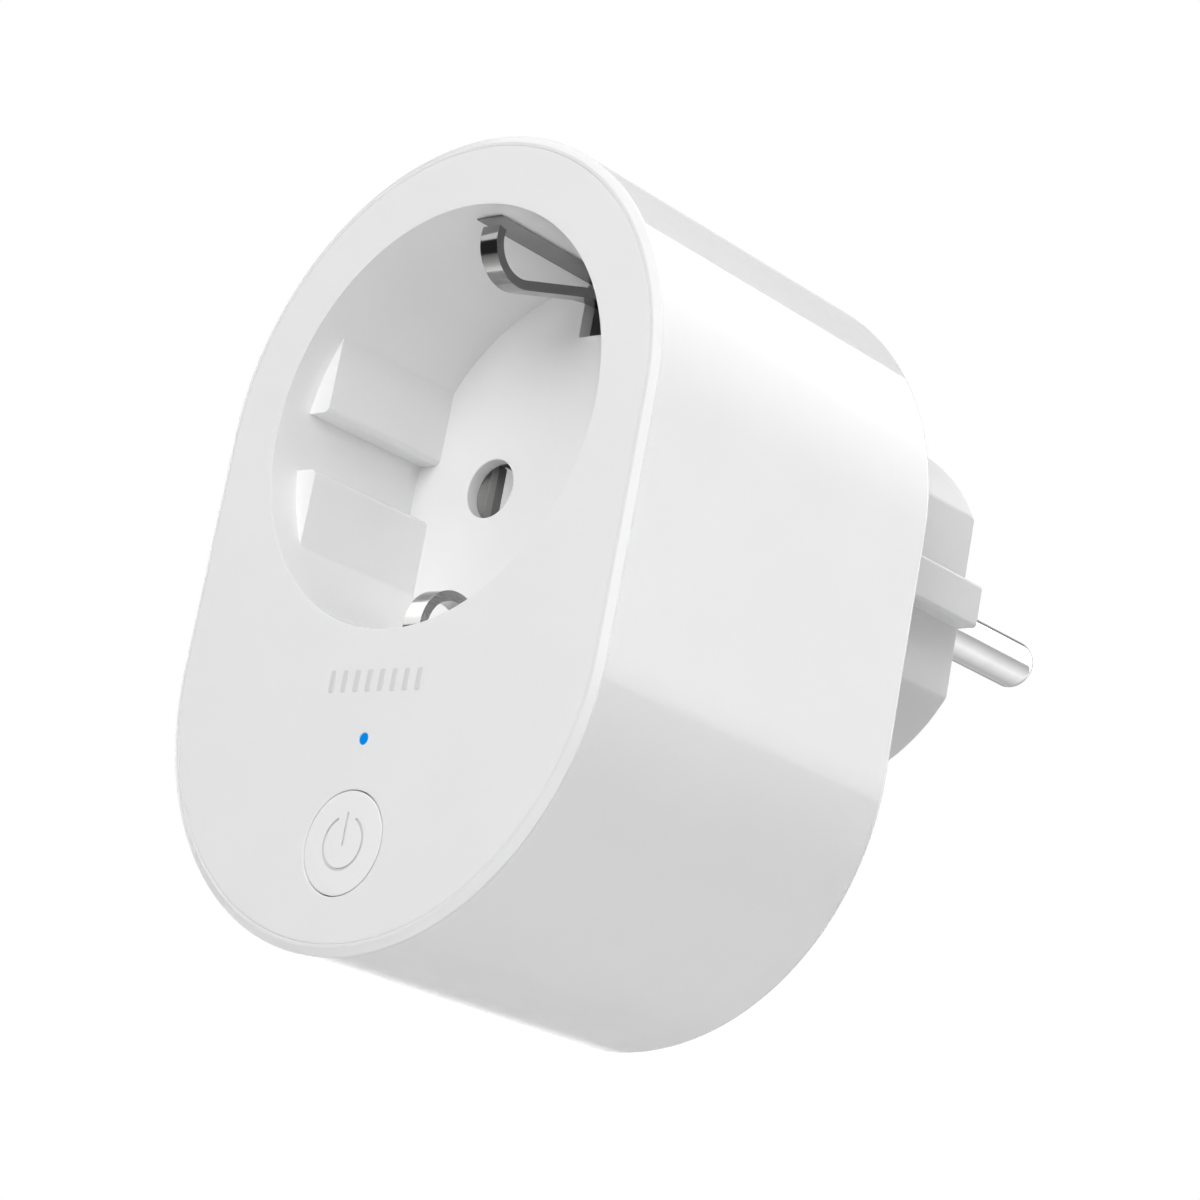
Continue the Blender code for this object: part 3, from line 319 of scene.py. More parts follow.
def closed_loft(shape, section):
    bm = bmesh.new()
    first, last = loft(bm, shape, section)
    fill(bm, first)
    fill(bm, last)
    return bm


def extruded(outline, near, far):
    """A solid along Y from its (x, z) outline."""
    return closed_loft(lambda inset: outline, [(0, near), (0, far)])


def turned(profile, x=0.0, z=0.0, steps=64):
    """A closed solid of revolution from (radius, y) pairs about the line through (x, z) along Y."""
    bm = bmesh.new()
    rings = []
    for radius, y in profile:
        outline = circle(radius, x, z, steps) if radius else [(x, z)]
        rings.append(add_ring(bm, outline, y))
    pairs = list(zip(rings, rings[1:]))
    if profile[0][0]:
        pairs.append((rings[-1], rings[0]))
    for near, far in pairs:
        for i in range(steps):
            j = (i + 1) % steps
            quad = (near[i % len(near)], far[i % len(far)], far[j % len(far)], near[j % len(near)])
            bm.faces.new(list(dict.fromkeys(quad)))
    return bm


def rod(radius, near, far, x=0.0, z=0.0, steps=48, edge=0.0):
    """A cylinder along Y between two levels, with rounded ends where edge is given."""
    profile = [(0, near), (radius, near), (radius, far), (0, far)]
    return turned(rounded_profile(profile, edge) if edge else profile, x, z, steps)


def prism(outline, low, high, along, round_edge=0.0):
    """A solid along X or Z from its (y, z) or (x, y) outline, with rounded edges at both ends."""
    bm = bmesh.new()
    rings = []
    for level in (low, high):
        places = [(level, *pair) if along == "X" else (*pair, level) for pair in outline]
        rings.append([bm.verts.new(place) for place in places])
    bridge(bm, *rings)
    ends = [bm.faces.new(ring) for ring in rings]
    if round_edge:
        bmesh.ops.recalc_face_normals(bm, faces=bm.faces)
        edges = [edge for end in ends for edge in end.edges]
        bmesh.ops.bevel(bm, geom=edges, offset=round_edge, segments=3, **BEVEL)
    return bm


def smooth(mesh):
    mesh.shade_smooth()
    mesh.set_sharp_from_angle(angle=SHARP_ANGLE)


def to_object(name, bm, *coats):
    """An object from a mesh in millimetres, which is freed, with its coats by name."""
    bmesh.ops.recalc_face_normals(bm, faces=bm.faces)
    bmesh.ops.scale(bm, vec=(MM, MM, MM), verts=bm.verts)
    mesh = bpy.data.meshes.new(name)
    bm.to_mesh(mesh)
    bm.free()
    for coat in coats:
        mesh.materials.append(COATS[coat])
    smooth(mesh)
    piece = bpy.data.objects.new(name, mesh)
    bpy.context.scene.collection.objects.link(piece)
    return piece


def paint(piece, rule):
    """Gives each face of the piece the coat that rule(centre, normal) numbers."""
    for face in piece.data.polygons:
        face.material_index = int(rule(face.center / MM, face.normal))


def modify(piece, kind, **settings):
    modifier = piece.modifiers.new(kind.lower(), kind)
    for name, value in settings.items():
        setattr(modifier, name, value)


def joined(*solids):
    """One mesh of several separate solids."""
    whole = bmesh.new()
    for bm in solids:
        mesh = bpy.data.meshes.new("solid")
        bmesh.ops.recalc_face_normals(bm, faces=bm.faces)
        bm.to_mesh(mesh)
        bm.free()
        whole.from_mesh(mesh)
        bpy.data.meshes.remove(mesh)
    return whole


def combine(target, operation, *solids):
    """Applies a Boolean of each tool mesh to the target's own mesh."""
    for bm in solids:
        tool = to_object("tool", bm)
        modify(target, "BOOLEAN", operation=operation, solver="EXACT", object=tool)
        depsgraph = bpy.context.evaluated_depsgraph_get()
        depsgraph.update()
        result = bpy.data.meshes.new_from_object(target.evaluated_get(depsgraph))
        target.modifiers.clear()
        spent = target.data
        target.data = result
        bpy.data.meshes.remove(spent)
        bpy.data.objects.remove(tool)
    smooth(target.data)


def install(piece, slot, *replaced, body="housing"):
    """Weights the piece's normals by face area, rides it on a body and hides the nodes it stands for."""
    modify(piece, "WEIGHTED_NORMAL", keep_sharp=True, weight=NORMAL_WEIGHT)
    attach(piece, body)
    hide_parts(*replaced)


def part(name, coat, replaced, *solids, slot=None, **settings):
    """Installs one piece made of several solids in one material."""
    install(to_object(name, joined(*solids), coat), slot or coat, *replaced, **settings)


# ---------------- materials


WHITE = (0.86, 0.86, 0.865)
TARNISH = 0.06
SCRATCH_DEPTH = 1.0e-6  # metres, like all textures


class Nodes:
    """A short way to write a node tree."""

    def __init__(self, tree):
        self.tree = tree

    def add(self, kind, inputs, **settings):
        """A new shader node. The inputs are values or sockets, by the name or number of the input."""
        node = self.tree.nodes.new("ShaderNode" + kind)
        for name, value in settings.items():
            setattr(node, name, value)
        self.feed(node, inputs)
        return node

    def feed(self, node, inputs):
        for name, value in inputs.items():
            socket = node.inputs[name]
            if isinstance(value, bpy.types.NodeSocket):
                self.tree.links.new(value, socket)
            else:
                socket.default_value = (*value, 1.0) if socket.type == "RGBA" else value

    def math(self, operation, *values):
        return self.add("Math", dict(enumerate(values)), operation=operation).outputs[0]

    def ranged(self, value, low, high, from_low=0.3, from_high=0.7, **settings):
        limits = {"From Min": from_low, "From Max": from_high, "To Min": low, "To Max": high}
        return self.add("MapRange", {"Value": value, **limits}, **settings).outputs["Result"]

    def blend(self, value, first, second):
        """A colour between first and second as value goes from 0 to 1."""
        inputs = {0: value, 6: first, 7: second}
        return self.add("Mix", inputs, data_type="RGBA").outputs[2]


class Shader(Nodes):
    """A material whose textures are placed in the object's own metres."""

    def __init__(self, name):
        self.material = bpy.data.materials.new(name)
        self.material.use_nodes = True
        super().__init__(self.material.node_tree)
        self.place = self.add("TexCoord", {}).outputs["Object"]

    def scaled(self, scale):
        return self.add("Mapping", {"Vector": self.place, "Scale": scale}).outputs["Vector"]

    def noise(self, scale, detail=2.0, stretch=(1, 1, 1)):
        """Noise between 0 and 1, with scale features to a metre."""
        inputs = {"Vector": self.scaled([scale * s for s in stretch]), "Scale": 1.0, "Detail": detail}
        return self.add("TexNoise", inputs).outputs["Fac"]

    def bump(self, height, distance):
        inputs = {"Strength": 1.0, "Distance": distance, "Height": height}
        return self.add("Bump", inputs).outputs["Normal"]

    def set(self, **inputs):
        """Sets or links the surface's inputs. A name's _ stands for a space."""
        surface = self.tree.nodes["Principled BSDF"]
        self.feed(surface, {name.replace("_", " "): value for name, value in inputs.items()})


def scaled_colour(colour, factor):
    return tuple(min(channel * factor, 1.0) for channel in colour)


def plastic(name, colour, roughness, grain=1.5e-6, specular=0.5, **extra):
    """Moulded plastic: faint flow mottling, uneven gloss and a fine eroded grain."""
    shader = Shader(name)
    flow = shader.ranged(shader.noise(90, 3.0), 0, 1)
    shade = shader.blend(flow, scaled_colour(colour, 0.99), scaled_colour(colour, 1.005))
    gloss = shader.ranged(shader.noise(700), roughness * 0.9, roughness * 1.12)
    shader.set(Base_Color=shade, Roughness=gloss, IOR=1.5, Specular_IOR_Level=specular, **extra)
    shader.set(Normal=shader.bump(shader.noise(7000), grain))
    return shader.material


def metal(name, colour, roughness, metallic=1.0, rim=None):
    """Drawn or stamped metal: fine lines along Y, and a slow change of tone.

    A rim colour, a painted dark reflection, replaces the metal's own where its surface turns away from
    the view.
    """
    shader = Shader(name)
    lines = shader.noise(1, 3.0, (9000, 250, 9000))
    cloud = shader.ranged(shader.noise(350, 4.0), 0, 1)
    dull, clean = scaled_colour(colour, 1 - TARNISH), scaled_colour(colour, 1 + TARNISH / 3)
    shade = shader.blend(cloud, dull, clean)
    # The rim colour is a painted dark reflection along the outline.
    if rim:
        facing = shader.add("LayerWeight", {}).outputs["Facing"]
        shade = shader.blend(shader.ranged(facing, 0, 1, 0.72, 0.78), shade, rim)
    shader.set(Base_Color=shade, Metallic=metallic)
    shader.set(Roughness=shader.ranged(lines, roughness * 0.75, roughness * 1.3))
    shader.set(Normal=shader.bump(lines, SCRATCH_DEPTH))
    return shader.material


def circuit_board():
    """Green solder mask over a pattern of tracks."""
    shader = Shader("circuit_board")
    inputs = {"Vector": shader.scaled((420, 420, 420)), "Scale": 1.0}
    cells = shader.add("TexVoronoi", inputs, distance="CHEBYCHEV", feature="F1")
    tracks = shader.ranged(cells.outputs["Distance"], 0, 1, 0.33, 0.36)
    cloud = shader.ranged(shader.noise(150, 3.0), 0, 1)
    mask = shader.blend(cloud, (0.012, 0.10, 0.045), (0.016, 0.13, 0.055))
    shade = shader.blend(tracks, (0.03, 0.22, 0.09), mask)
    shader.set(Base_Color=shade, Roughness=shader.ranged(shader.noise(2000), 0.22, 0.32), IOR=1.5)
    shader.set(Normal=shader.bump(tracks, -8.0e-6))
    return shader.material


def indicator_light():
    """The lit end of the light pipe."""
    shader = Shader("indicator_light")
    cloud = shader.ranged(shader.noise(2500), 0, 1)
    glow = shader.blend(cloud, (0.001, 0.25, 0.8), (0.003, 0.29, 0.88))
    shader.set(Base_Color=(0.0, 0.004, 0.02), Roughness=0.3, Specular_IOR_Level=0.0)
    shader.set(Emission_Color=glow, Emission_Strength=0.93)
    return shader.material


# Each row is a material's name, colour, roughness and other settings.
PLASTICS = (
    ("shell_plastic", WHITE, 0.05, dict(grain=0.06e-6)),
    ("rim_plastic", (0.785, 0.785, 0.79), 0.2, dict(grain=0.3e-6)),
    ("panel_plastic", (0.8, 0.8, 0.805), 0.4, dict(grain=2.0e-6)),
    ("marking_plastic", (0.69, 0.69, 0.7), 0.5, dict(grain=2.0e-6, specular=0.1)),
    ("button_plastic", (0.83, 0.83, 0.835), 0.4, dict(grain=2.0e-6)),
    # The boot's coat glows: painted light that brightens the boot deep in the pin hole, which is no lamp.
    ("boot_plastic", WHITE, 0.4, dict(Emission_Color=WHITE, Emission_Strength=0.42)),
    # The recess coat is a lighter copy of the white plastic: painted light bounced into the recess.
    ("recess_plastic", (0.89, 0.89, 0.895), 0.22, dict(grain=1.0e-6)),
    # The plug's coat is a darker copy of the white plastic: painted shade from the housing in front of
    # it.
    ("plug_plastic", (0.73, 0.73, 0.735), 0.4, dict(grain=2.0e-6, specular=0.08)),
    ("black_plastic", (0.022, 0.022, 0.024), 0.45, dict(grain=3.0e-6)),
    ("ferrite", (0.035, 0.034, 0.036), 0.5, dict(grain=6.0e-6)),
    ("relay_blue", (0.03, 0.11, 0.32), 0.32, {}),
    ("capacitor_sleeve", (0.03, 0.03, 0.05), 0.35, dict(grain=3.0e-6)),
    ("winding_tape", (0.75, 0.6, 0.12), 0.3, dict(grain=5.0e-6)),
    ("film_yellow", (0.8, 0.58, 0.08), 0.35, {}),
    ("varistor_blue", (0.05, 0.2, 0.5), 0.25, dict(grain=6.0e-6)),
    ("fuse_ceramic", (0.75, 0.74, 0.7), 0.15, {}),
    ("lamp_epoxy", (0.75, 0.8, 0.85), 0.1, {}),
    ("floor_paint", (0.74, 0.74, 0.74), 0.6, {}),
)
METALS = (
    ("nickel", (0.31, 0.308, 0.303), 0.1, {}),
    # The next three coats are one nickel: painted light on the lower earth spring and its cut edges,
    # painted shade on the upper spring's cut edges and the plates.
    ("bright_nickel", (0.52, 0.517, 0.51), 0.1, {}),
    ("cut_edge_nickel", (0.54, 0.537, 0.53), 0.25, {}),
    ("plate_nickel", (0.23, 0.228, 0.225), 0.2, {}),
    # The pins' rim colour is a painted dark reflection along their outline.
    ("pin_nickel", (0.85, 0.85, 0.85), 0.14, dict(rim=(0.12, 0.12, 0.12))),
    ("contact_lip", (0.3, 0.298, 0.295), 0.4, dict(metallic=0.2)),
    ("contact_plate", (0.6, 0.597, 0.59), 0.35, dict(metallic=0.2)),
    ("brass", (0.74, 0.56, 0.28), 0.26, {}),
    ("steel", (0.55, 0.56, 0.57), 0.3, {}),
    ("copper", (0.75, 0.32, 0.14), 0.25, {}),
)
COATS = {}
for make, rows in ((plastic, PLASTICS), (metal, METALS)):
    for coat_name, colour, roughness, settings in rows:
        COATS[coat_name] = make(coat_name, colour, roughness, **settings)
COATS["circuit_board"] = circuit_board()
COATS["indicator_light"] = indicator_light()


# ---------------- housing


def rim_section():
    """The chamfered front rim with softened corners, and the fine parting line behind it."""
    blend = RIM_SOFT * tan(radians(22.5))
    bend = []
    for step in range(5):
        turn = radians(45) * step / 4
        bend.append((RIM_CHAMFER + blend - RIM_SOFT * sin(turn), RIM_SOFT * (1 - cos(turn))))
    bend += [(depth, inset) for inset, depth in bend[::-1]]
    section = [(inset, FRONT_Y + RIM_FLATNESS * depth) for inset, depth in bend]
    line_y = section[-1][1] + PARTING_LINE
    section += [(0, line_y), (PARTING_LINE, line_y + PARTING_LINE / 2)]
    return section + [(PARTING_LINE, line_y + PARTING_LINE), (0, line_y + 1.5 * PARTING_LINE)]


def housing_shell():
    """The side wall, with a chamfered front rim and round rear edge, rebated for the two covers."""
    front_step = COVER_BACK_Y + SEAM
    rear_step = REAR_Y - REAR_PLATE - SEAM
    section = [(WALL, front_step), (RIM, front_step)]
    section += rounded_end(RIM, FRONT_Y, SEAM_ROUND, 1, 3)[::-1]
    section += rim_section()
    section += quarter(0, REAR_Y, REAR_ROUND, -1, 10)[::-1]
    section += rounded_end(RIM, REAR_Y, SEAM_ROUND, -1, 3)
    section += [(RIM, rear_step), (WALL, rear_step)]
    bm = bmesh.new()
    first, last = loft(bm, stadium, section)
    bridge(bm, last, first)
    piece = to_object("shell_wall", bm, "shell_plastic", "rim_plastic")
    rim_back_y = FRONT_Y + RIM_FLATNESS * RIM_CHAMFER
    paint(piece, lambda centre, normal: centre.y < rim_back_y)
    install(piece, "white_plastic", "housing_shell")


def guide_block(side_x, side_z):
    """One guide block of the recess: a segment of the recess circle behind a flat face."""
    reach = RECESS_RADIUS + GUIDE_SINK
    foot = asin(GUIDE_SLOT_Z / reach)
    top = acos(GUIDE_FACE_X / reach)
    outline = [(GUIDE_FACE_X, GUIDE_SLOT_Z)] + arc(reach, foot, top)
    outline = [(side_x * x, side_z * z) for x, z in outline]
    bm = extruded(outline, GUIDE_FRONT_Y, FLOOR_Y + GUIDE_SINK)
    bmesh.ops.recalc_face_normals(bm, faces=bm.faces)
    corner = Vector((side_x * GUIDE_FACE_X, 0, side_z * GUIDE_SLOT_Z))
    edges = [edge for edge in bm.edges if all(vert.co.xz == corner.xz for vert in edge.verts)]
    bmesh.ops.bevel(bm, geom=edges, offset=GUIDE_EDGE_ROUND, segments=6, **BEVEL)
    return bm


def raised_bar(x):
    def shape(inset):
        half_x, half_z = BAR_HALF_WIDTH - inset, BAR_HALF_HEIGHT - inset
        return rounded_box(half_x, half_z, BAR_END_ROUND - inset, x, BAR_Z)

    section = quarter(0, FRONT_Y - BAR_RAISED, BAR_ROUND, 1, 3) + [(0, FRONT_Y + COVER / 3)]
    return closed_loft(shape, section)


def cover_body():
    """The front cover without its guide blocks: face, recess, floor, and the walls behind them."""
    bm = bmesh.new()

    def opening(shape, section, fronts, backs):
        front, back = loft(bm, shape, section)
        fronts.append(front)
        backs.append(back)

    edge = quarter(RIM + SEAM, FRONT_Y, SEAM_ROUND, 1, 3, FLAT_MARGIN) + [(RIM + SEAM, COVER_BACK_Y)]
    face_edge, back_edge = loft(bm, stadium, edge)
    wall = quarter(0, FRONT_Y, MOUTH_ROUND, 1, 4, FLAT_MARGIN)
    wall += [(0, GUIDE_FRONT_Y - FLAT_MARGIN), (0, FLOOR_Y)]
    mouth, floor_edge = loft(bm, lambda inset: circle(RECESS_RADIUS + inset, steps=192), wall)
    cup = [(0, COVER_BACK_Y), (0, FLOOR_BACK_Y)]
    cup_front, cup_back = loft(bm, lambda inset: circle(CUP_RADIUS, steps=192), cup)
    fronts, backs = [face_edge, mouth], [back_edge, cup_front]
    for radius, z, soft in ((BUTTON_RADIUS + BUTTON_GAP, BUTTON_Z, BUTTON_ROUND),
                            (LIGHT_RADIUS + LIGHT_GAP, LIGHT_Z, LIGHT_HOLE_ROUND)):
        section = quarter(0, FRONT_Y, soft, 1, 3, FLAT_MARGIN) + [(0, COVER_BACK_Y)]
        opening(lambda inset: circle(radius + inset, 0, z, 96), section, fronts, backs)
    floor_fronts, floor_backs = [floor_edge], [cup_back]
    section = quarter(0, FLOOR_Y, PIN_HOLE_ROUND, 1, 3, FLAT_MARGIN) + [(0, FLOOR_BACK_Y)]
    for x in (-PIN_X, PIN_X):
        def hole(inset):
            return circle(PIN_HOLE_RADIUS + inset, x, 0, 72)

        opening(hole, section, floor_fronts, floor_backs)
    half_z = (EARTH_SLOT_HIGH - EARTH_SLOT_LOW) / 2
    for middle in (-EARTH_SLOT_LOW - half_z, EARTH_SLOT_LOW + half_z):
        slot = rounded_box(EARTH_SLOT_HALF_WIDTH, half_z, EARTH_SLOT_CORNER, 0, middle, 3)
        opening(lambda inset: slot, [(0, FLOOR_Y), (0, FLOOR_BACK_Y)], floor_fronts, floor_backs)
    for rings in (fronts, backs, floor_fronts, floor_backs):
        fill(bm, *rings)
    return bm


def front_cover():
    """The face and recess: a satin front plane with greyer raised bars, and glossier beyond it, where the
    white is painted lighter to stand in for light bounced into the recess.
    """
    piece = to_object("front_face", cover_body(), "recess_plastic", "panel_plastic", "marking_plastic")
    blocks = [guide_block(side_x, side_z) for side_x in (-1, 1) for side_z in (-1, 1)]
    first_x = -BAR_PITCH * (BAR_COUNT - 1) / 2
    bars = [raised_bar(first_x + i * BAR_PITCH) for i in range(BAR_COUNT)]
    combine(piece, "UNION", *blocks, *bars)
    raised_y = FRONT_Y - 0.001
    panel_y = FRONT_Y + SEAM_ROUND + 0.01
    paint(piece, lambda centre, normal: 2 if centre.y < raised_y else centre.y < panel_y)
    install(piece, "white_plastic", "front_cover")


# ---------------- button and light


def thick_arc(radius, half_line, start, end, z):
    """The outline of an arc of a round line with round ends."""
    def end_cap(angle, turn):
        x = radius * cos(angle)
        level = z + radius * sin(angle)
        return arc(half_line, angle + turn, angle + turn + pi, x, level, 6)[1:-1]

    outer = arc(radius + half_line, start, end, 0, z, 48)
    inner = arc(radius - half_line, end, start, 0, z, 48)
    return outer + end_cap(end, 0) + inner + end_cap(start, pi)


def power_button():
    """The button's cap with its engraved ring and bar, its flange and its stem."""
    flange_radius = BUTTON_RADIUS + BUTTON_FLANGE
    flange_y = COVER_BACK_Y + BUTTON_FLANGE_GAP
    flange_back_y = flange_y + BUTTON_FLANGE_THICKNESS
    sides = rounded_end(BUTTON_RADIUS, FRONT_Y, BUTTON_ROUND, 1, 4, FLAT_MARGIN)
    sides += [(BUTTON_RADIUS, flange_y), (flange_radius, flange_y), (flange_radius, flange_back_y)]
    sides += [(BUTTON_STEM_RADIUS, flange_back_y), (BUTTON_STEM_RADIUS, BUTTON_HIGH.y)]
    bm = bmesh.new()
    face_edge, stem_end = loft(bm, lambda radius: circle(radius, 0, BUTTON_Z, 96), sides)
    fill(bm, stem_end)

    def ring(inset):
        first = pi / 2 + SYMBOL_OPENING
        last = pi * 5 / 2 - SYMBOL_OPENING
        return thick_arc(SYMBOL_RADIUS, SYMBOL_HALF_LINE + inset, first, last, BUTTON_Z)

    def bar(inset):
        half_length = (SYMBOL_BAR_HIGH - SYMBOL_BAR_LOW) / 2
        middle = BUTTON_Z + (SYMBOL_BAR_HIGH + SYMBOL_BAR_LOW) / 2
        half_line = SYMBOL_HALF_LINE + inset
        return rounded_box(half_line, half_length + inset, half_line * 0.99, 0, middle, 6)

    groove = quarter(0, FRONT_Y, SYMBOL_ROUND, 1, 2, FLAT_MARGIN / 2) + [(0, FRONT_Y + SYMBOL_DEPTH)]
    edges = []
    for shape in (ring, bar):
        edge, foot = loft(bm, shape, groove)
        fill(bm, foot)
        edges.append(edge)
    fill(bm, face_edge, *edges)
    piece = to_object("button_cap", bm, "button_plastic", "marking_plastic")

    def engraved(centre, normal):
        from_middle = hypot(centre.x, centre.z - BUTTON_Z)
        depth = centre.y - FRONT_Y
        return SYMBOL_ROUND / 2 < depth < 2 * SYMBOL_DEPTH and from_middle < BUTTON_RADIUS - 1

    paint(piece, engraved)
    install(piece, "white_plastic", "power_button", body="button")


def light_pipe():
    """The pipe whose lit end shows as the blue dot."""
    shoulder_y = COVER_BACK_Y + 0.3
    profile = [(0, FRONT_Y), (LIGHT_RADIUS - 0.06, FRONT_Y), (LIGHT_RADIUS, FRONT_Y + 0.05)]
    profile += [(LIGHT_RADIUS, shoulder_y), (LIGHT_HIGH.x, shoulder_y), (LIGHT_HIGH.x, LIGHT_HIGH.y)]
    pipe = turned(profile + [(0, LIGHT_HIGH.y)], 0, LIGHT_Z, 48)
    part("light_pipe_end", "indicator_light", ["light_pipe"], pipe, slot="indicator_blue")


# ---------------- metal


def earth_springs():
    """The looped earth contacts in the recess, each with its cut edges and a flat backing plate. The
    lower spring's nickel and the lower cut edges are painted light, and the upper spring's cut edges and
    the plates are painted shade.
    """
    bow = arc(SPRING_BOW_RADIUS, *SPRING_BOW_ANGLES, SPRING_BOW_Y, SPRING_BOW_Z, 28)
    leg = smooth_path([bow[-1], *SPRING_LEG])
    for place, sign, *coats in (("top", 1, "nickel", "plate_nickel"),
                                ("bottom", -1, "bright_nickel", "cut_edge_nickel")):
        outline = [(y, sign * z) for y, z in strip(bow + leg[1:], SPRING_THICKNESS)]
        loop = prism(outline, -SPRING_HALF_WIDTH, SPRING_HALF_WIDTH, "X", 0.05)
        spring = to_object(f"earth_loop_{place}", loop, *coats)
        low, high, _ = extent(f"earth_plate_{place}")
        middle = sign * (EARTH_PLATE_LOW + EARTH_PLATE_HIGH) / 2
        outline = strip([(low.y, middle), (high.y, middle)], EARTH_PLATE_HIGH - EARTH_PLATE_LOW)
        flat = prism(outline, -EARTH_PLATE_HALF_WIDTH, EARTH_PLATE_HALF_WIDTH, "X", 0.015)
        plate = to_object(f"earth_back_{place}", flat, "plate_nickel", "cut_edge_nickel")
        for piece in (spring, plate):
            paint(piece, lambda centre, normal: abs(normal.x) > 0.9)
        install(spring, "nickel", f"earth_spring_{place}", body=f"{place}_earth_spring")
        install(plate, "nickel", f"earth_plate_{place}")


def plug_pins():
    """The round-ended pins, each with a thinner tail and a collar inside the housing."""
    tail_y, collar_y = PIN_LOW.y + 2, PIN_LOW.y + 2.7
    profile = [(0, PIN_LOW.y), (PIN_TAIL_RADIUS, PIN_LOW.y), (PIN_TAIL_RADIUS, tail_y)]
    profile += [(PIN_COLLAR_RADIUS, tail_y), (PIN_COLLAR_RADIUS, collar_y), (PIN_RADIUS, collar_y)]
    profile += rounded_end(PIN_RADIUS, PIN_HIGH.y, PIN_TIP_ROUND, -1, 10)[::-1] + [(0, PIN_HIGH.y)]
    for pole, x in (("live", PIN_X), ("neutral", -PIN_X)):
        pin = turned(profile, x, 0, 96)
        part("plug_pin_" + pole, "pin_nickel", ["pin_" + pole], pin, slot="nickel")


# ---------------- plug body


def plug_outline(inset):
    """The plug body's section: a circle with two flats, each with a middle rib."""
    radius = PLUG_RADIUS - inset
    flat = PLUG_FLAT_X - inset
    rib_z = PLUG_RIB_HALF_Z - inset
    corner = acos(flat / radius)
    corner_x, corner_z = PLUG_RIB_X - RIB_CORNER_ROUND, PLUG_RIB_HALF_Z - RIB_CORNER_ROUND
    outline = []
    for turn in (0.0, pi):
        side = cos(turn)
        for half, start in ((-side, turn - pi / 2), (side, turn)):
            x, z = side * corner_x, half * corner_z
            outline += arc(RIB_CORNER_ROUND - inset, start, start + pi / 2, x, z, 4)
        outline.append((side * flat, side * rib_z))
        outline += arc(radius, turn + corner, turn + pi - corner, steps=64)
        outline.append((-side * flat, side * rib_z))
    return outline


def box_tool(half_width, y_low, y_high, z_low, z_high):
    """A box about the YZ plane with soft edges along Y."""
    outline = rounded_box(half_width, abs(z_high - z_low) / 2, TOOL_CORNER, 0, (z_low + z_high) / 2, 3)
    return extruded(outline, y_low, y_high)


def flared_bore(radius, flare, lip, depth, x, z):
    """A blind bore in the plug's end, flared from lip below the face to flare wider above it."""
    bottom, top = PLUG_END_Y - depth, PLUG_END_Y + 0.6
    profile = [(0, bottom), (radius, bottom), (radius, PLUG_END_Y - lip), (radius + flare, top), (0, top)]
    return turned(profile, x, z, 72)


def rear_cover():
    """The rear plate with the plug body, its bores, its earth grooves and the hollow inside. Its coat is
    a darker copy of the white plastic: painted shade from the housing in front of the plug.
    """
    edge = quarter(RIM + SEAM, REAR_Y, SEAM_ROUND, -1, 3, FLAT_MARGIN)
    edge.append((RIM + SEAM, REAR_Y - REAR_PLATE))
    piece = to_object("rear_body", closed_loft(stadium, edge), "plug_plastic")
    end = quarter(0, PLUG_END_Y, PLUG_EDGE_ROUND, -1, 5, FLAT_MARGIN)[::-1]
    combine(piece, "UNION", closed_loft(plug_outline, [(0, REAR_Y - REAR_PLATE / 2)] + end))
    inside_y = REAR_Y - 3
    tools = [rod(PLUG_HOLLOW_RADIUS, inside_y, PLUG_END_Y - PLUG_END_WALL, steps=96)]
    for x in (-PIN_X, PIN_X):
        tools.append(flared_bore(PIN_RADIUS + 0.06, 0.84, 0.25, 5, x, 0))
    tools.append(flared_bore(FRENCH_HOLE_RADIUS, 1, 0.4, 4, 0, FRENCH_HOLE_Z))
    for sign in (-1, 1):
        groove = sign * EARTH_GROOVE_Z
        tools.append(box_tool(EARTH_GROOVE_HALF_WIDTH, REAR_Y + 2, PLUG_END_Y + 1, groove, sign * 20))
        tools.append(box_tool(EARTH_STRAP_HALF_WIDTH, inside_y, REAR_Y + 3, groove, groove + sign * 1.5))
    for place in SCREW_PLACES:
        _, _, middle = extent("cover_screw_" + place)
        seat_y, rim_y, top_y = REAR_Y - 1.45, REAR_Y - 0.15, REAR_Y + 0.6
        profile = [(0, inside_y), (SCREW_BORE_RADIUS, inside_y), (SCREW_BORE_RADIUS, seat_y)]
        profile += [(SCREW_SEAT_RADIUS, seat_y), (SCREW_SEAT_RADIUS, rim_y), (2.9, top_y), (0, top_y)]
        tools.append(turned(profile, middle.x, middle.z, 48))
    combine(piece, "DIFFERENCE", *tools)
    install(piece, "white_plastic", "rear_cover")


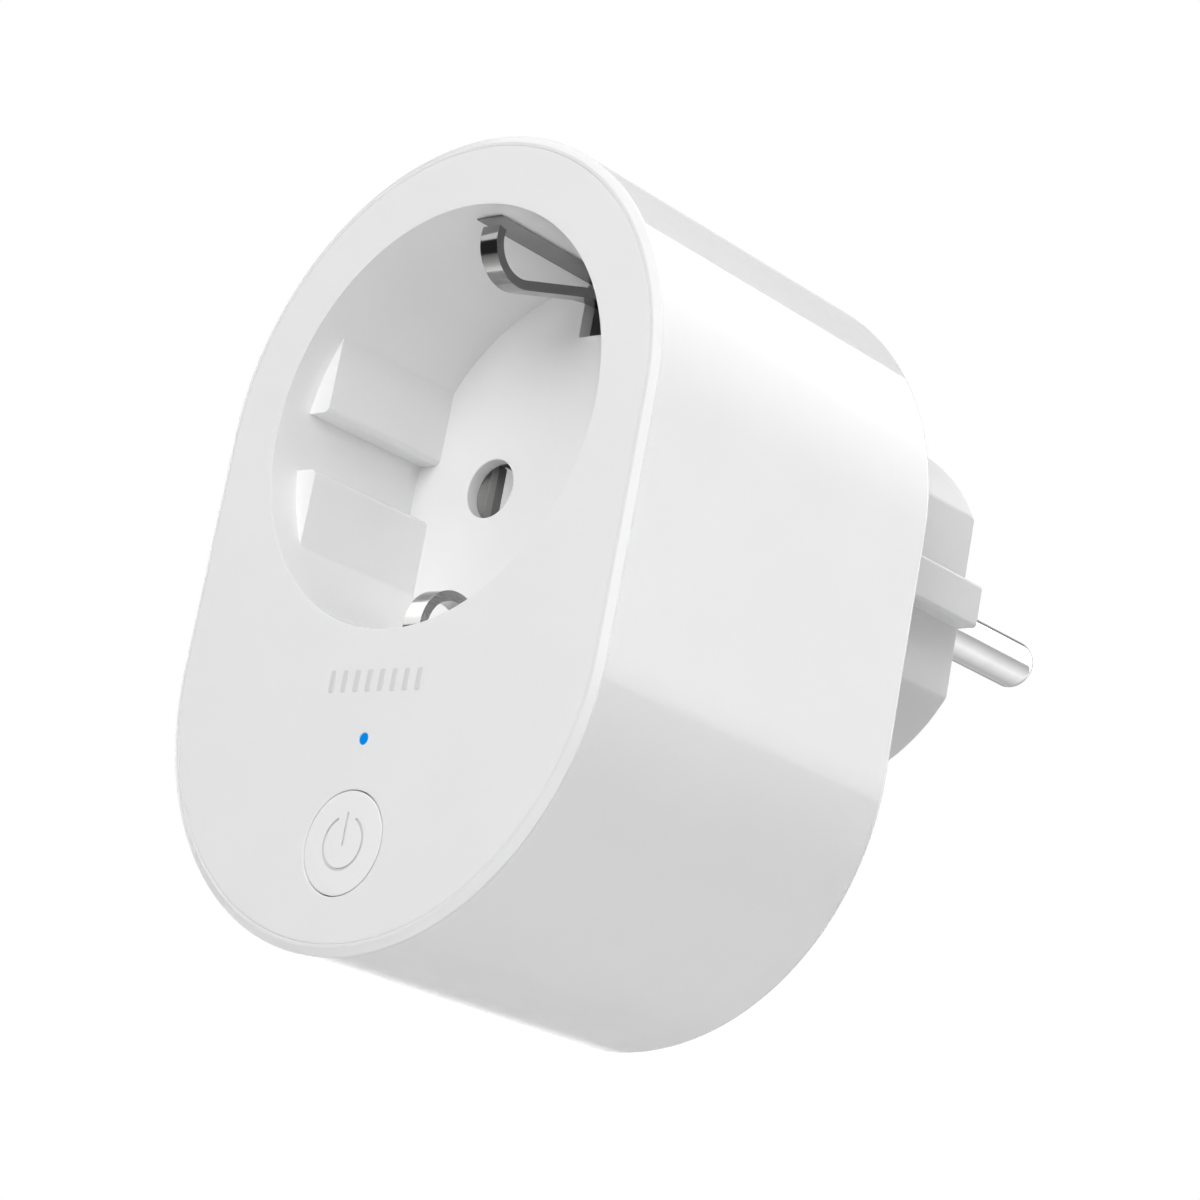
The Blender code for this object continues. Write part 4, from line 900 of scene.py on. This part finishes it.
def cover_screw(place):
    """A self-tapping screw: point, thread, and a domed head with a cross recess."""
    low, high, middle = extent("cover_screw_" + place)
    head_y = high.y - SCREW_HEAD_DEPTH
    profile = [(0, low.y), (SCREW_ROOT_RADIUS / 2, low.y + 0.1)]
    for i in range(int((head_y - low.y - 1.4) / SCREW_PITCH)):
        y = low.y + 1 + i * SCREW_PITCH
        profile += [(SCREW_ROOT_RADIUS, y), (SCREW_RADIUS, y + 0.42 * SCREW_PITCH)]
        profile += [(SCREW_RADIUS, y + 0.5 * SCREW_PITCH), (SCREW_ROOT_RADIUS, y + 0.85 * SCREW_PITCH)]
    profile += [(SCREW_ROOT_RADIUS, head_y), (SCREW_HEAD_RADIUS, head_y)]
    profile += rounded_end(SCREW_HEAD_RADIUS, high.y, SCREW_HEAD_ROUND, -1, 5)[::-1] + [(0, high.y)]
    screw = to_object("rear_screw_" + place, turned(profile, middle.x, middle.z, 48), "steel")

    def cross(inset):
        reach, half = CROSS_HALF_LENGTH - inset, CROSS_HALF_WIDTH - inset / 4
        quadrant = [(reach, half), (half, half), (half, reach)]
        outline = []
        for _ in range(4):
            outline += quadrant
            quadrant = [(-across, along) for along, across in quadrant]
        return [(middle.x + across, middle.z + along) for across, along in outline]

    depths = [(0, high.y + 0.1), (CROSS_TAPER, high.y - CROSS_DEPTH)]
    combine(screw, "DIFFERENCE", closed_loft(cross, depths))
    install(screw, "steel", "cover_screw_" + place)


# ---------------- inside parts


def soft_box(low, high, edge=0.15, steps=3):
    """A box between two corners with every edge rounded."""
    low, high = Vector(low), Vector(high)
    half_x, _, half_z = (high - low) / 2
    x, _, z = (low + high) / 2

    def shape(inset):
        return rounded_box(half_x - inset, half_z - inset, 1.2 * edge - inset, x, z, steps)

    section = quarter(0, low[1], edge, 1, steps) + quarter(0, high[1], edge, -1, steps)[::-1]
    return closed_loft(shape, section)


def carry(coat, *nodes, edge=0.12):
    """Keeps CAD nodes as they are, with the material and with rounded edges."""
    for name in nodes:
        node = bpy.data.objects[name]
        node.data.materials.clear()
        node.data.materials.append(COATS[coat])
        node.data.shade_smooth()
        modify(node, "WELD", merge_threshold=WELD_REACH * MM)
        width = edge * MM
        modify(node, "BEVEL", width=width, segments=3, limit_method="ANGLE", angle_limit=CARRIED_ANGLE)
        modify(node, "WEIGHTED_NORMAL", weight=NORMAL_WEIGHT)


def capacitor(node, name):
    """A radial can: shrink sleeve with a crimp, and a bare scored lid."""
    low, high, middle = extent(node)
    radius = (high.x - low.x) / 2
    crimp_y = high.y - 2
    lip = radius - 0.5
    points = [(0, low.y + 0.25), (lip, low.y + 0.25), (lip, low.y), (radius, low.y)]
    points += [(radius, crimp_y - 0.7), (radius - 0.45, crimp_y), (radius, crimp_y + 0.7)]
    points += [(radius, high.y), (0, high.y)]
    sleeve = turned(rounded_profile(points, 0.2), middle.x, middle.z, 72)
    part(name + "_sleeve", "capacitor_sleeve", [node], sleeve)
    top = rod(lip - 0.03, low.y + 0.1, low.y + 0.24, middle.x, middle.z, 72, 0.05)
    lid = to_object(name + "_lid", top, "steel")
    score, half = 0.55 * lip, 0.09
    cuts = []
    for across in (Vector((score, 0, half)), Vector((half, 0, score))):
        cut_low = Vector((middle.x, low.y - 0.2, middle.z)) - across
        cut_high = Vector((middle.x, low.y + 0.16, middle.z)) + across
        cuts.append(soft_box(cut_low, cut_high, 0.05))
    combine(lid, "DIFFERENCE", *cuts)
    install(lid, "steel")


def leads(name, places, foot_y, radius=0.28):
    """Straight leads from a part's foot to the board, at (x, z) places."""
    board_y = extent("power_board")[0].y
    part(name, "nickel", [], *[rod(radius, foot_y, board_y, x, z, 16) for x, z in places])


def solder_joints(name, places, back_y):
    """Solder cones on the back of a board."""
    cone = ((0, 0), (0.95, 0), (0.8, 0.12), (0.42, 0.4), (0.3, 0.75), (0.16, 0.86), (0, 0.88))
    profile = [(radius, back_y + rise) for radius, rise in cone]
    part(name, "nickel", [], *[turned(profile, x, z, 20) for x, z in places])


def surface_parts(name, places, face_y):
    """Small resistors and capacitors with tinned ends on a board's front, at (x, z, upright) places."""
    bodies, ends = [], []
    near, cap, swell = face_y - 0.45, 0.25, 1.02
    for i, (x, z, upright) in enumerate(places):
        long_half, half = (0.75, 0.4) if i % 3 else (1.0, 0.6)

        def block(middle, half_length, half_width, high_y, edge):
            """A box on the part's long axis, from the middle of the part outwards."""
            along = (x + (0 if upright else middle), z + (middle if upright else 0))
            half_x, half_z = (half_width, half_length) if upright else (half_length, half_width)
            low = (along[0] - half_x, near, along[1] - half_z)
            return soft_box(low, (along[0] + half_x, high_y, along[1] + half_z), edge, 2)

        bodies.append(block(0, long_half - cap, half, face_y, 0.05))
        for side in (-1, 1):
            middle = side * (long_half - cap / 2)
            ends.append(block(middle, cap / 2 * swell, half * swell, face_y + 0.01, 0.06))
    part(name + "_bodies", "black_plastic", [], *bodies)
    part(name + "_ends", "nickel", [], *ends)


def chip(node, name, board_y, outward, count):
    """A chip with its pin-one dimple and gull-wing leads."""
    low, high, middle = extent(node)
    far = high.y if outward > 0 else low.y
    body = to_object(name + "_body", soft_box(low, high, 0.1), "black_plastic")
    bottom, top = far - outward * 0.12, far + outward * 0.3
    combine(body, "DIFFERENCE", rod(0.3, bottom, top, low.x + 0.8, high.z - 0.8, 24))
    install(body, "black_plastic", node)
    pitch = (high.z - low.z - 0.8) / (count - 1)
    foot_y = board_y + outward * 0.08
    legs = []
    for side, edge_x in ((-1, low.x), (1, high.x)):
        path = [(0, middle.y), (0.35, middle.y), (0.5, foot_y), (0.95, foot_y)]
        path = smooth_path([(edge_x + side * x, y) for x, y in path], 3)
        for i in range(count):
            z = low.z + 0.4 + i * pitch
            legs.append(prism(strip(path, 0.14), z - 0.13, z + 0.13, "Z"))
    part(name + "_legs", "nickel", [], *legs)


def relay():
    """The relay: a blue case, a wound bobbin, and the CAD's own armature, core and contacts."""
    low, high, middle = extent("relay_cover")
    wall = 0.8
    half_x, _, half_z = (high - low) / 2

    def shape(inset):
        corner = 1.0 - inset * 0.8
        return rounded_box(half_x - inset, half_z - inset, corner, middle.x, middle.z, 6)

    section = [(wall, low.y + wall), (wall, high.y), (0.06, high.y), (0, high.y - 0.06)]
    section += quarter(0, low.y, 0.5, 1, 5)[::-1]
    part("relay_case", "relay_blue", ["relay_cover"], closed_loft(shape, section))
    low, high, middle = extent("relay_coil")
    flange, bore, thick = (high.x - low.x) / 2, 1.5, 0.55
    for place, front in (("front", low.y), ("back", high.y - thick)):
        points = [(bore, front), (flange, front), (flange, front + thick), (bore, front + thick)]
        part("bobbin_" + place, "black_plastic", [], turned(points, middle.x, middle.z, 72))
    turns = 26
    wire = (high.y - low.y - 2 * thick) / turns / 2
    winding = [(bore, low.y + thick)]
    for i in range(turns):
        y = low.y + thick + wire * (2 * i + 1)
        winding += arc(wire, -pi / 2, pi / 2, flange - 0.6 - wire, y, 5)[:-1]
    winding.append((bore, high.y - thick))
    part("coil_winding", "copper", ["relay_coil"], turned(winding, middle.x, middle.z))
    carry("steel", "relay_core", "relay_yoke", "relay_armature")
    carry("brass", "relay_fixed_contact", "relay_moving_contact", edge=0.06)
    carry("black_plastic", "relay_base", edge=0.25)


def transformer():
    """A ferrite core in two halves, the bobbin, the taped winding and its pins."""
    low, high, middle = extent("transformer")
    inner_x = high.x - 1.5
    core_low_y, core_high_y = low.y + 1.0, low.y + 10.4
    gap_y, half_gap = (core_low_y + core_high_y) / 2, 0.03
    core_low_z, core_high_z = middle.z - 2.2, middle.z + 2.2
    tape_low = (-inner_x + 0.5, low.y + 0.4, low.z)
    tape_high = (inner_x - 0.5, high.y - 2.2, high.z)
    part("transformer_tape", "winding_tape", ["transformer"], soft_box(tape_low, tape_high, 1.2, 6))
    halves = []
    for near, far in ((low.y, gap_y - half_gap), (gap_y + half_gap, core_high_y)):
        for side in (-1, 1):
            side_low, side_high = sorted((side * (inner_x - 0.45), side * high.x))
            halves.append(soft_box((side_low, near, core_low_z), (side_high, far, core_high_z)))
    halves.append(soft_box((-high.x, low.y, core_low_z), (high.x, low.y + 1.6, core_high_z)))
    part("transformer_core", "ferrite", [], *halves, slot="black_plastic")
    foot = soft_box((-inner_x, high.y - 2.1, low.z), (inner_x, high.y, high.z), 0.25)
    part("transformer_bobbin", "black_plastic", [], foot)
    places = [(x, z) for x in (-4, -1.3, 1.3, 4) for z in (low.z + 0.9, high.z - 0.9)]
    leads("transformer_pins", places, high.y)
    return places


def along_x(solid, middle):
    """A turned solid laid along X about its middle."""
    place = Matrix.Translation(middle) @ Matrix.Rotation(pi / 2, 4, "Z")
    bmesh.ops.transform(solid, matrix=place, verts=solid.verts)
    return solid


def varistor():
    """A coated disc on two leads."""
    low, high, middle = extent("varistor")
    half, radius, _ = (high - low) / 2
    profile = [(0, -half), (radius * 0.72, -half), (radius * 0.93, -half * 0.72), (radius, 0)]
    profile += [(across, -y) for across, y in profile[2::-1]]
    disc = along_x(turned(rounded_profile(profile, 1.2, 5), steps=72), middle)
    part("varistor_disc", "varistor_blue", ["varistor"], disc)
    places = [(middle.x + side * 0.8, middle.z + side * 2.5) for side in (-1, 1)]
    leads("varistor_leads", places, high.y - 1.6, 0.3)
    return places


def fuse():
    """A ceramic tube with two metal caps, on two leads."""
    low, high, middle = extent("fuse")
    half, radius, _ = (high - low) / 2
    cap = 1.2
    tube_end = half - 0.2
    tube = rod(radius * 0.9, -tube_end, tube_end, edge=0.1)
    part("fuse_tube", "fuse_ceramic", ["fuse"], along_x(tube, middle))
    caps = [rod(radius, near, near + cap, edge=0.2) for near in (-half, half - cap)]
    part("fuse_caps", "nickel", [], *[along_x(cap_end, middle) for cap_end in caps])
    places = [(low.x + cap / 2, middle.z), (high.x - cap / 2, middle.z)]
    leads("fuse_leads", places, high.y - 0.2, 0.3)
    return places


def header():
    """The row of pins between the two boards, in its plastic bar."""
    low, high, middle = extent("board_header")
    bar_low_y, bar_high_y = low.y + 9.6, high.y - 11.0
    count, half_pin = 4, 0.32
    step = (high.z - low.z) / count
    half_step = step * 0.499
    bars, pins = [], []
    for i in range(count):
        z = low.z + (i + 0.5) * step
        bars.append(soft_box((low.x, bar_low_y, z - half_step), (high.x, bar_high_y, z + half_step), 0.3))
        for near, far in ((low.y, bar_low_y), (bar_high_y, high.y)):
            pin_low = (middle.x - half_pin, near, z - half_pin)
            pin_high = (middle.x + half_pin, far, z + half_pin)
            pins.append(soft_box(pin_low, pin_high, 0.06, 2))
    part("header_bar", "black_plastic", ["board_header"], *bars)
    part("header_pins", "brass", [], *pins)


def push_switch():
    """The switch under the button: a case with a bore and four rivets, and its plunger."""
    low, high, middle = extent("switch_body")
    plunger_low, plunger_high, _ = extent("switch_plunger")
    body = to_object("switch_case", soft_box(low, high, 0.2), "black_plastic")
    combine(body, "DIFFERENCE", rod(plunger_high.x + 0.3, low.y - 1, high.y - 0.4, 0, middle.z))
    install(body, "black_plastic", "switch_body")
    places = [(x, z) for x in (low.x + 0.55, high.x - 0.55) for z in (low.z + 0.55, high.z - 0.55)]
    rivets = [rod(0.32, low.y - 0.12, low.y, x, z, 20, 0.08) for x, z in places]
    part("switch_rivets", "steel", [], *rivets)
    stem = rod(plunger_high.x, plunger_low.y, plunger_high.y, 0, middle.z, 48, 0.2)
    part("switch_stem", "black_plastic", ["switch_plunger"], stem, body="plunger")


def radio():
    """The shielded radio module: a can with vent holes, and the aerial track on its board."""
    low, high, _ = extent("wifi_shield")
    can = to_object("radio_can", soft_box(low, high, 0.25), "steel")
    columns = [low.x + i * (high.x - low.x) / 6 for i in range(1, 6)]
    places = [(x, z) for x in columns for z in (low.z + 1.5, high.z - 1.5)]
    holes = [rod(0.35, high.y - 0.15, high.y + 1, x, z, 20) for x, z in places]
    combine(can, "DIFFERENCE", joined(*holes))
    install(can, "steel", "wifi_shield")
    carry("black_plastic", "wifi_board", edge=0.08)
    low, high, _ = extent("wifi_board")
    x, top, bottom = low.x + 0.8, high.z - 0.9, low.z + 3.2
    path = [(x, bottom - 1.4)]
    for i in range(4):
        near, far = (bottom, top) if i % 2 == 0 else (top, bottom)
        path += [(x + i * 1.05, near), (x + i * 1.05, far)]
    part("radio_aerial", "brass", [], extruded(strip(path, 0.35), high.y, high.y + 0.04))


def lamp():
    """The indicator's lamp: a clear block between two tinned ends."""
    low, high, _ = extent("indicator_led")
    end = 0.25
    lens = soft_box((low.x + end, low.y, low.z), (high.x - end, high.y, high.z), 0.12)
    part("lamp_lens", "lamp_epoxy", ["indicator_led"], lens, slot="lamp")
    ends = [((x, high.y - 0.35, low.z), (x + end, high.y, high.z)) for x in (low.x, high.x - end)]
    part("lamp_ends", "brass", [], *[soft_box(*corners, 0.04, 2) for corners in ends])


def shunt():
    """The bent strip that the load current is measured across."""
    low, high, _ = extent("shunt")
    thickness = 0.8
    rise = low.y + thickness / 2
    near, far = low.z + thickness / 2, high.z - thickness / 2
    path = smooth_path([(high.y, near), (rise, near), (rise, far), (high.y, far)])
    part("shunt_strap", "steel", ["shunt"], prism(strip(path, thickness), low.x, high.x, "X", 0.1))


def socket_contacts():
    """The contacts behind the pin holes: a pale boot covers each fixed jaw, behind its flared lip. The
    boot's glow is painted light, which stands in for light reaching into the hole.
    """
    nodes = ("contact_live", "contact_neutral", "contact_live_jaw", "contact_neutral_jaw")
    carry("contact_plate", *nodes, edge=0.2)
    for name in nodes:
        node = bpy.data.objects[name]
        node.data.materials.append(COATS["contact_lip"])
        paint(node, lambda centre, normal: normal.y < -0.5)
    for pole, side in (("live", 1), ("neutral", -1)):
        near, far = sorted((side * BOOT_X[0], side * BOOT_X[1]))
        # The boot's coat carries a painted glow that stands in for light in the hole.
        boot = soft_box((near, BOOT_Y[0], -BOOT_HALF_HEIGHT), (far, BOOT_Y[1], BOOT_HALF_HEIGHT))
        part("contact_boot_" + pole, "boot_plastic", [], boot, slot="white_plastic")
        path = smooth_path([(side * across, y) for across, y in LIP_PATH])
        flare = prism(strip(path, LIP_THICKNESS), -LIP_HALF_HEIGHT, LIP_HALF_HEIGHT, "Z")
        part("contact_lip_" + pole, "contact_lip", [], flare, slot="nickel")


def inside_parts():
    relay()
    capacitor("capacitor_high_voltage", "bulk_capacitor")
    capacitor("capacitor_output", "small_capacitor")
    leads("capacitor_leads", CAPACITOR_LEADS, extent("capacitor_output")[1].y)
    joints = [*CAPACITOR_LEADS, *transformer(), *varistor(), *fuse()]
    low, high, _ = extent("filter_capacitor")
    part("film_capacitor", "film_yellow", ["filter_capacitor"], soft_box(low, high, 0.45, 4))
    film_places = [(13.2, low.z + 1.2), (13.2, high.z - 1.2)]
    leads("film_leads", film_places, high.y)
    board_low, board_high, _ = extent("power_board")
    solder_joints("solder_joints", joints + film_places, board_high.y)
    chip("bridge_rectifier", "rectifier", board_high.y, 1, 2)
    chip("metering_chip", "meter", board_low.y, -1, 8)
    header()
    push_switch()
    radio()
    lamp()
    shunt()
    surface_parts("power_chips", POWER_CHIPS, board_low.y)
    surface_parts("control_chips", CONTROL_CHIPS, extent("control_board")[0].y)
    carry("circuit_board", "control_board", "power_board", edge=0.06)
    carry("brass", "busbar_live", "busbar_neutral", "earth_strap_top", "earth_strap_bottom", "earth_link")
    carry("brass", "earth_sleeve", edge=0.15)
    socket_contacts()
    carry("nickel", "rear_earth_contact_top", "rear_earth_contact_bottom")


# ---------------- stage


CAMERA_PLACE = Vector((0.206211, -0.245069, -0.086447))
CAMERA_AIM = Vector((0.00318, -0.03575, -0.01007))
CAMERA_ROLL = radians(10.558)
CAMERA_LENS = 101.125


def place_camera():
    data = bpy.data.cameras.new("camera")
    data.lens = CAMERA_LENS
    data.sensor_width = 36
    data.clip_start = 0.01
    data.clip_end = 20
    camera = bpy.data.objects.new("camera", data)
    turn = (CAMERA_AIM - CAMERA_PLACE).to_track_quat("-Z", "Y").to_matrix()
    turn = turn @ Matrix.Rotation(CAMERA_ROLL, 3, "Z")
    camera.matrix_world = Matrix.Translation(CAMERA_PLACE) @ turn.to_4x4()
    bpy.context.scene.collection.objects.link(camera)
    bpy.context.scene.camera = camera


# Soft lights that only matt surfaces see: (degrees right of the front, elevation, share of a full light).
KEYS = (
    (20, 15, 0.87), (20, 40, 0.36), (60, 15, 0.2), (60, 50, 0.2), (100, 65, 0.95), (150, 35, 0.3),
    (-120, 35, 0.3),
)
KEY_AIM = Vector((0, -0.04, -0.01))
KEY_DISTANCE = 1.2
KEY_SIZE = 0.6


def soft_lights():
    for side_angle, rise, share in KEYS:
        turn, lift = radians(side_angle), radians(rise)
        level = cos(lift)
        towards = Vector((sin(turn) * level, -cos(turn) * level, sin(lift)))
        data = bpy.data.lights.new("key", "AREA")
        data.size = KEY_SIZE
        irradiance = 0.5 * pi * share
        data.energy = irradiance * pi * KEY_DISTANCE**2
        light = bpy.data.objects.new("key", data)
        light.location = KEY_DISTANCE * towards
        light.rotation_euler = (KEY_AIM - light.location).to_track_quat("-Z", "Y").to_euler()
        light.visible_camera = False
        light.visible_glossy = False
        bpy.context.scene.collection.objects.link(light)


# What glossy surfaces see: (angle in degrees, brightness). Two equal angles make a sharp edge.
# Behind the object the angle runs in the XZ plane from +X, in front of it in the YZ plane from -Y.
BACK_GLOW = (
    (-180, 1.6), (-160, 0.6), (-127, 0.5), (-90, 0.8), (-55, 1.1), (-20, 0.7), (8.4, 0.4), (8.8, 1.4),
    (20, 1.9), (35, 1.9), (65, 2.4), (85, 4.0), (100.4, 4.6), (100.8, 0.35), (130, 0.65), (150, 0.9),
    (165, 1.6), (180, 1.6),
)
FRONT_GLOW = (
    (-180, 0.5), (-110, 0.6), (-87, 1.1), (-76, 1.95), (-66, 1.6), (-60, 1.16), (-49, 0.8), (-38, 0.55),
    (-29, 0.3), (-27, 0.05), (10, 0.04), (12, 1.5), (28, 1.6), (36, 2.0), (95, 2.0), (112, 0.6),
    (180, 0.5),
)
GLOW_CHANGE_Y = (-0.05, 0.15)  # a direction's Y over which the front glow gives way to the back glow
BRIGHTEST = 5.0
FLOOR_HALF = 600  # the floor's half width and its level are in millimetres
FLOOR_Z = -95


def world_light():
    """A white backdrop for the camera, and a studio that only glossy surfaces see."""
    world = bpy.data.worlds.new("studio")
    bpy.context.scene.world = world
    world.use_nodes = True
    world.cycles_visibility.diffuse = False
    world.node_tree.nodes.clear()
    nodes = Nodes(world.node_tree)

    def glow(up, across, stops):
        turn = nodes.math("MULTIPLY_ADD", nodes.math("ARCTAN2", up, across), 0.5 / pi, 0.5)
        ramp = nodes.add("ValToRGB", {0: turn})
        elements = ramp.color_ramp.elements
        for i, (angle, brightness) in enumerate(stops):
            place = angle / 360 + 0.5
            element = elements[i] if i < 2 else elements.new(place)
            element.position = place
            level = brightness / BRIGHTEST
            element.color = (level, level, level, 1)
        return ramp.outputs["Color"]

    place = nodes.add("TexCoord", {}).outputs["Generated"]
    x, y, z = nodes.add("SeparateXYZ", {0: place}).outputs
    back = glow(z, x, BACK_GLOW)
    front = glow(z, nodes.math("MULTIPLY", y, -1.0), FRONT_GLOW)
    side = nodes.ranged(y, 0, 1, *GLOW_CHANGE_Y, interpolation_type="SMOOTHSTEP")
    studio = {"Color": nodes.blend(side, front, back), "Strength": BRIGHTEST}
    light = nodes.add("Background", studio)
    backdrop = nodes.add("Background", {"Color": (1, 1, 1)})
    seen = nodes.add("LightPath", {}).outputs["Is Camera Ray"]
    mix = nodes.add("MixShader", {0: seen, 1: light.outputs[0], 2: backdrop.outputs[0]})
    nodes.add("OutputWorld", {"Surface": mix.outputs[0]})


def studio_floor():
    """A plain pale floor below the camera."""
    outline = [(x * FLOOR_HALF, y * FLOOR_HALF) for x, y in ((-1, -1), (1, -1), (1, 1), (-1, 1))]
    bm = bmesh.new()
    bm.faces.new([bm.verts.new((x, y, FLOOR_Z)) for x, y in outline])
    floor = to_object("studio_floor", bm, "floor_paint")
    floor.visible_glossy = False


housing_shell()
front_cover()
power_button()
light_pipe()
earth_springs()
plug_pins()
rear_cover()
for screw_place in SCREW_PLACES:
    cover_screw(screw_place)
inside_parts()
place_camera()
soft_lights()
world_light()
studio_floor()
bpy.context.scene.view_settings.view_transform = "Standard"
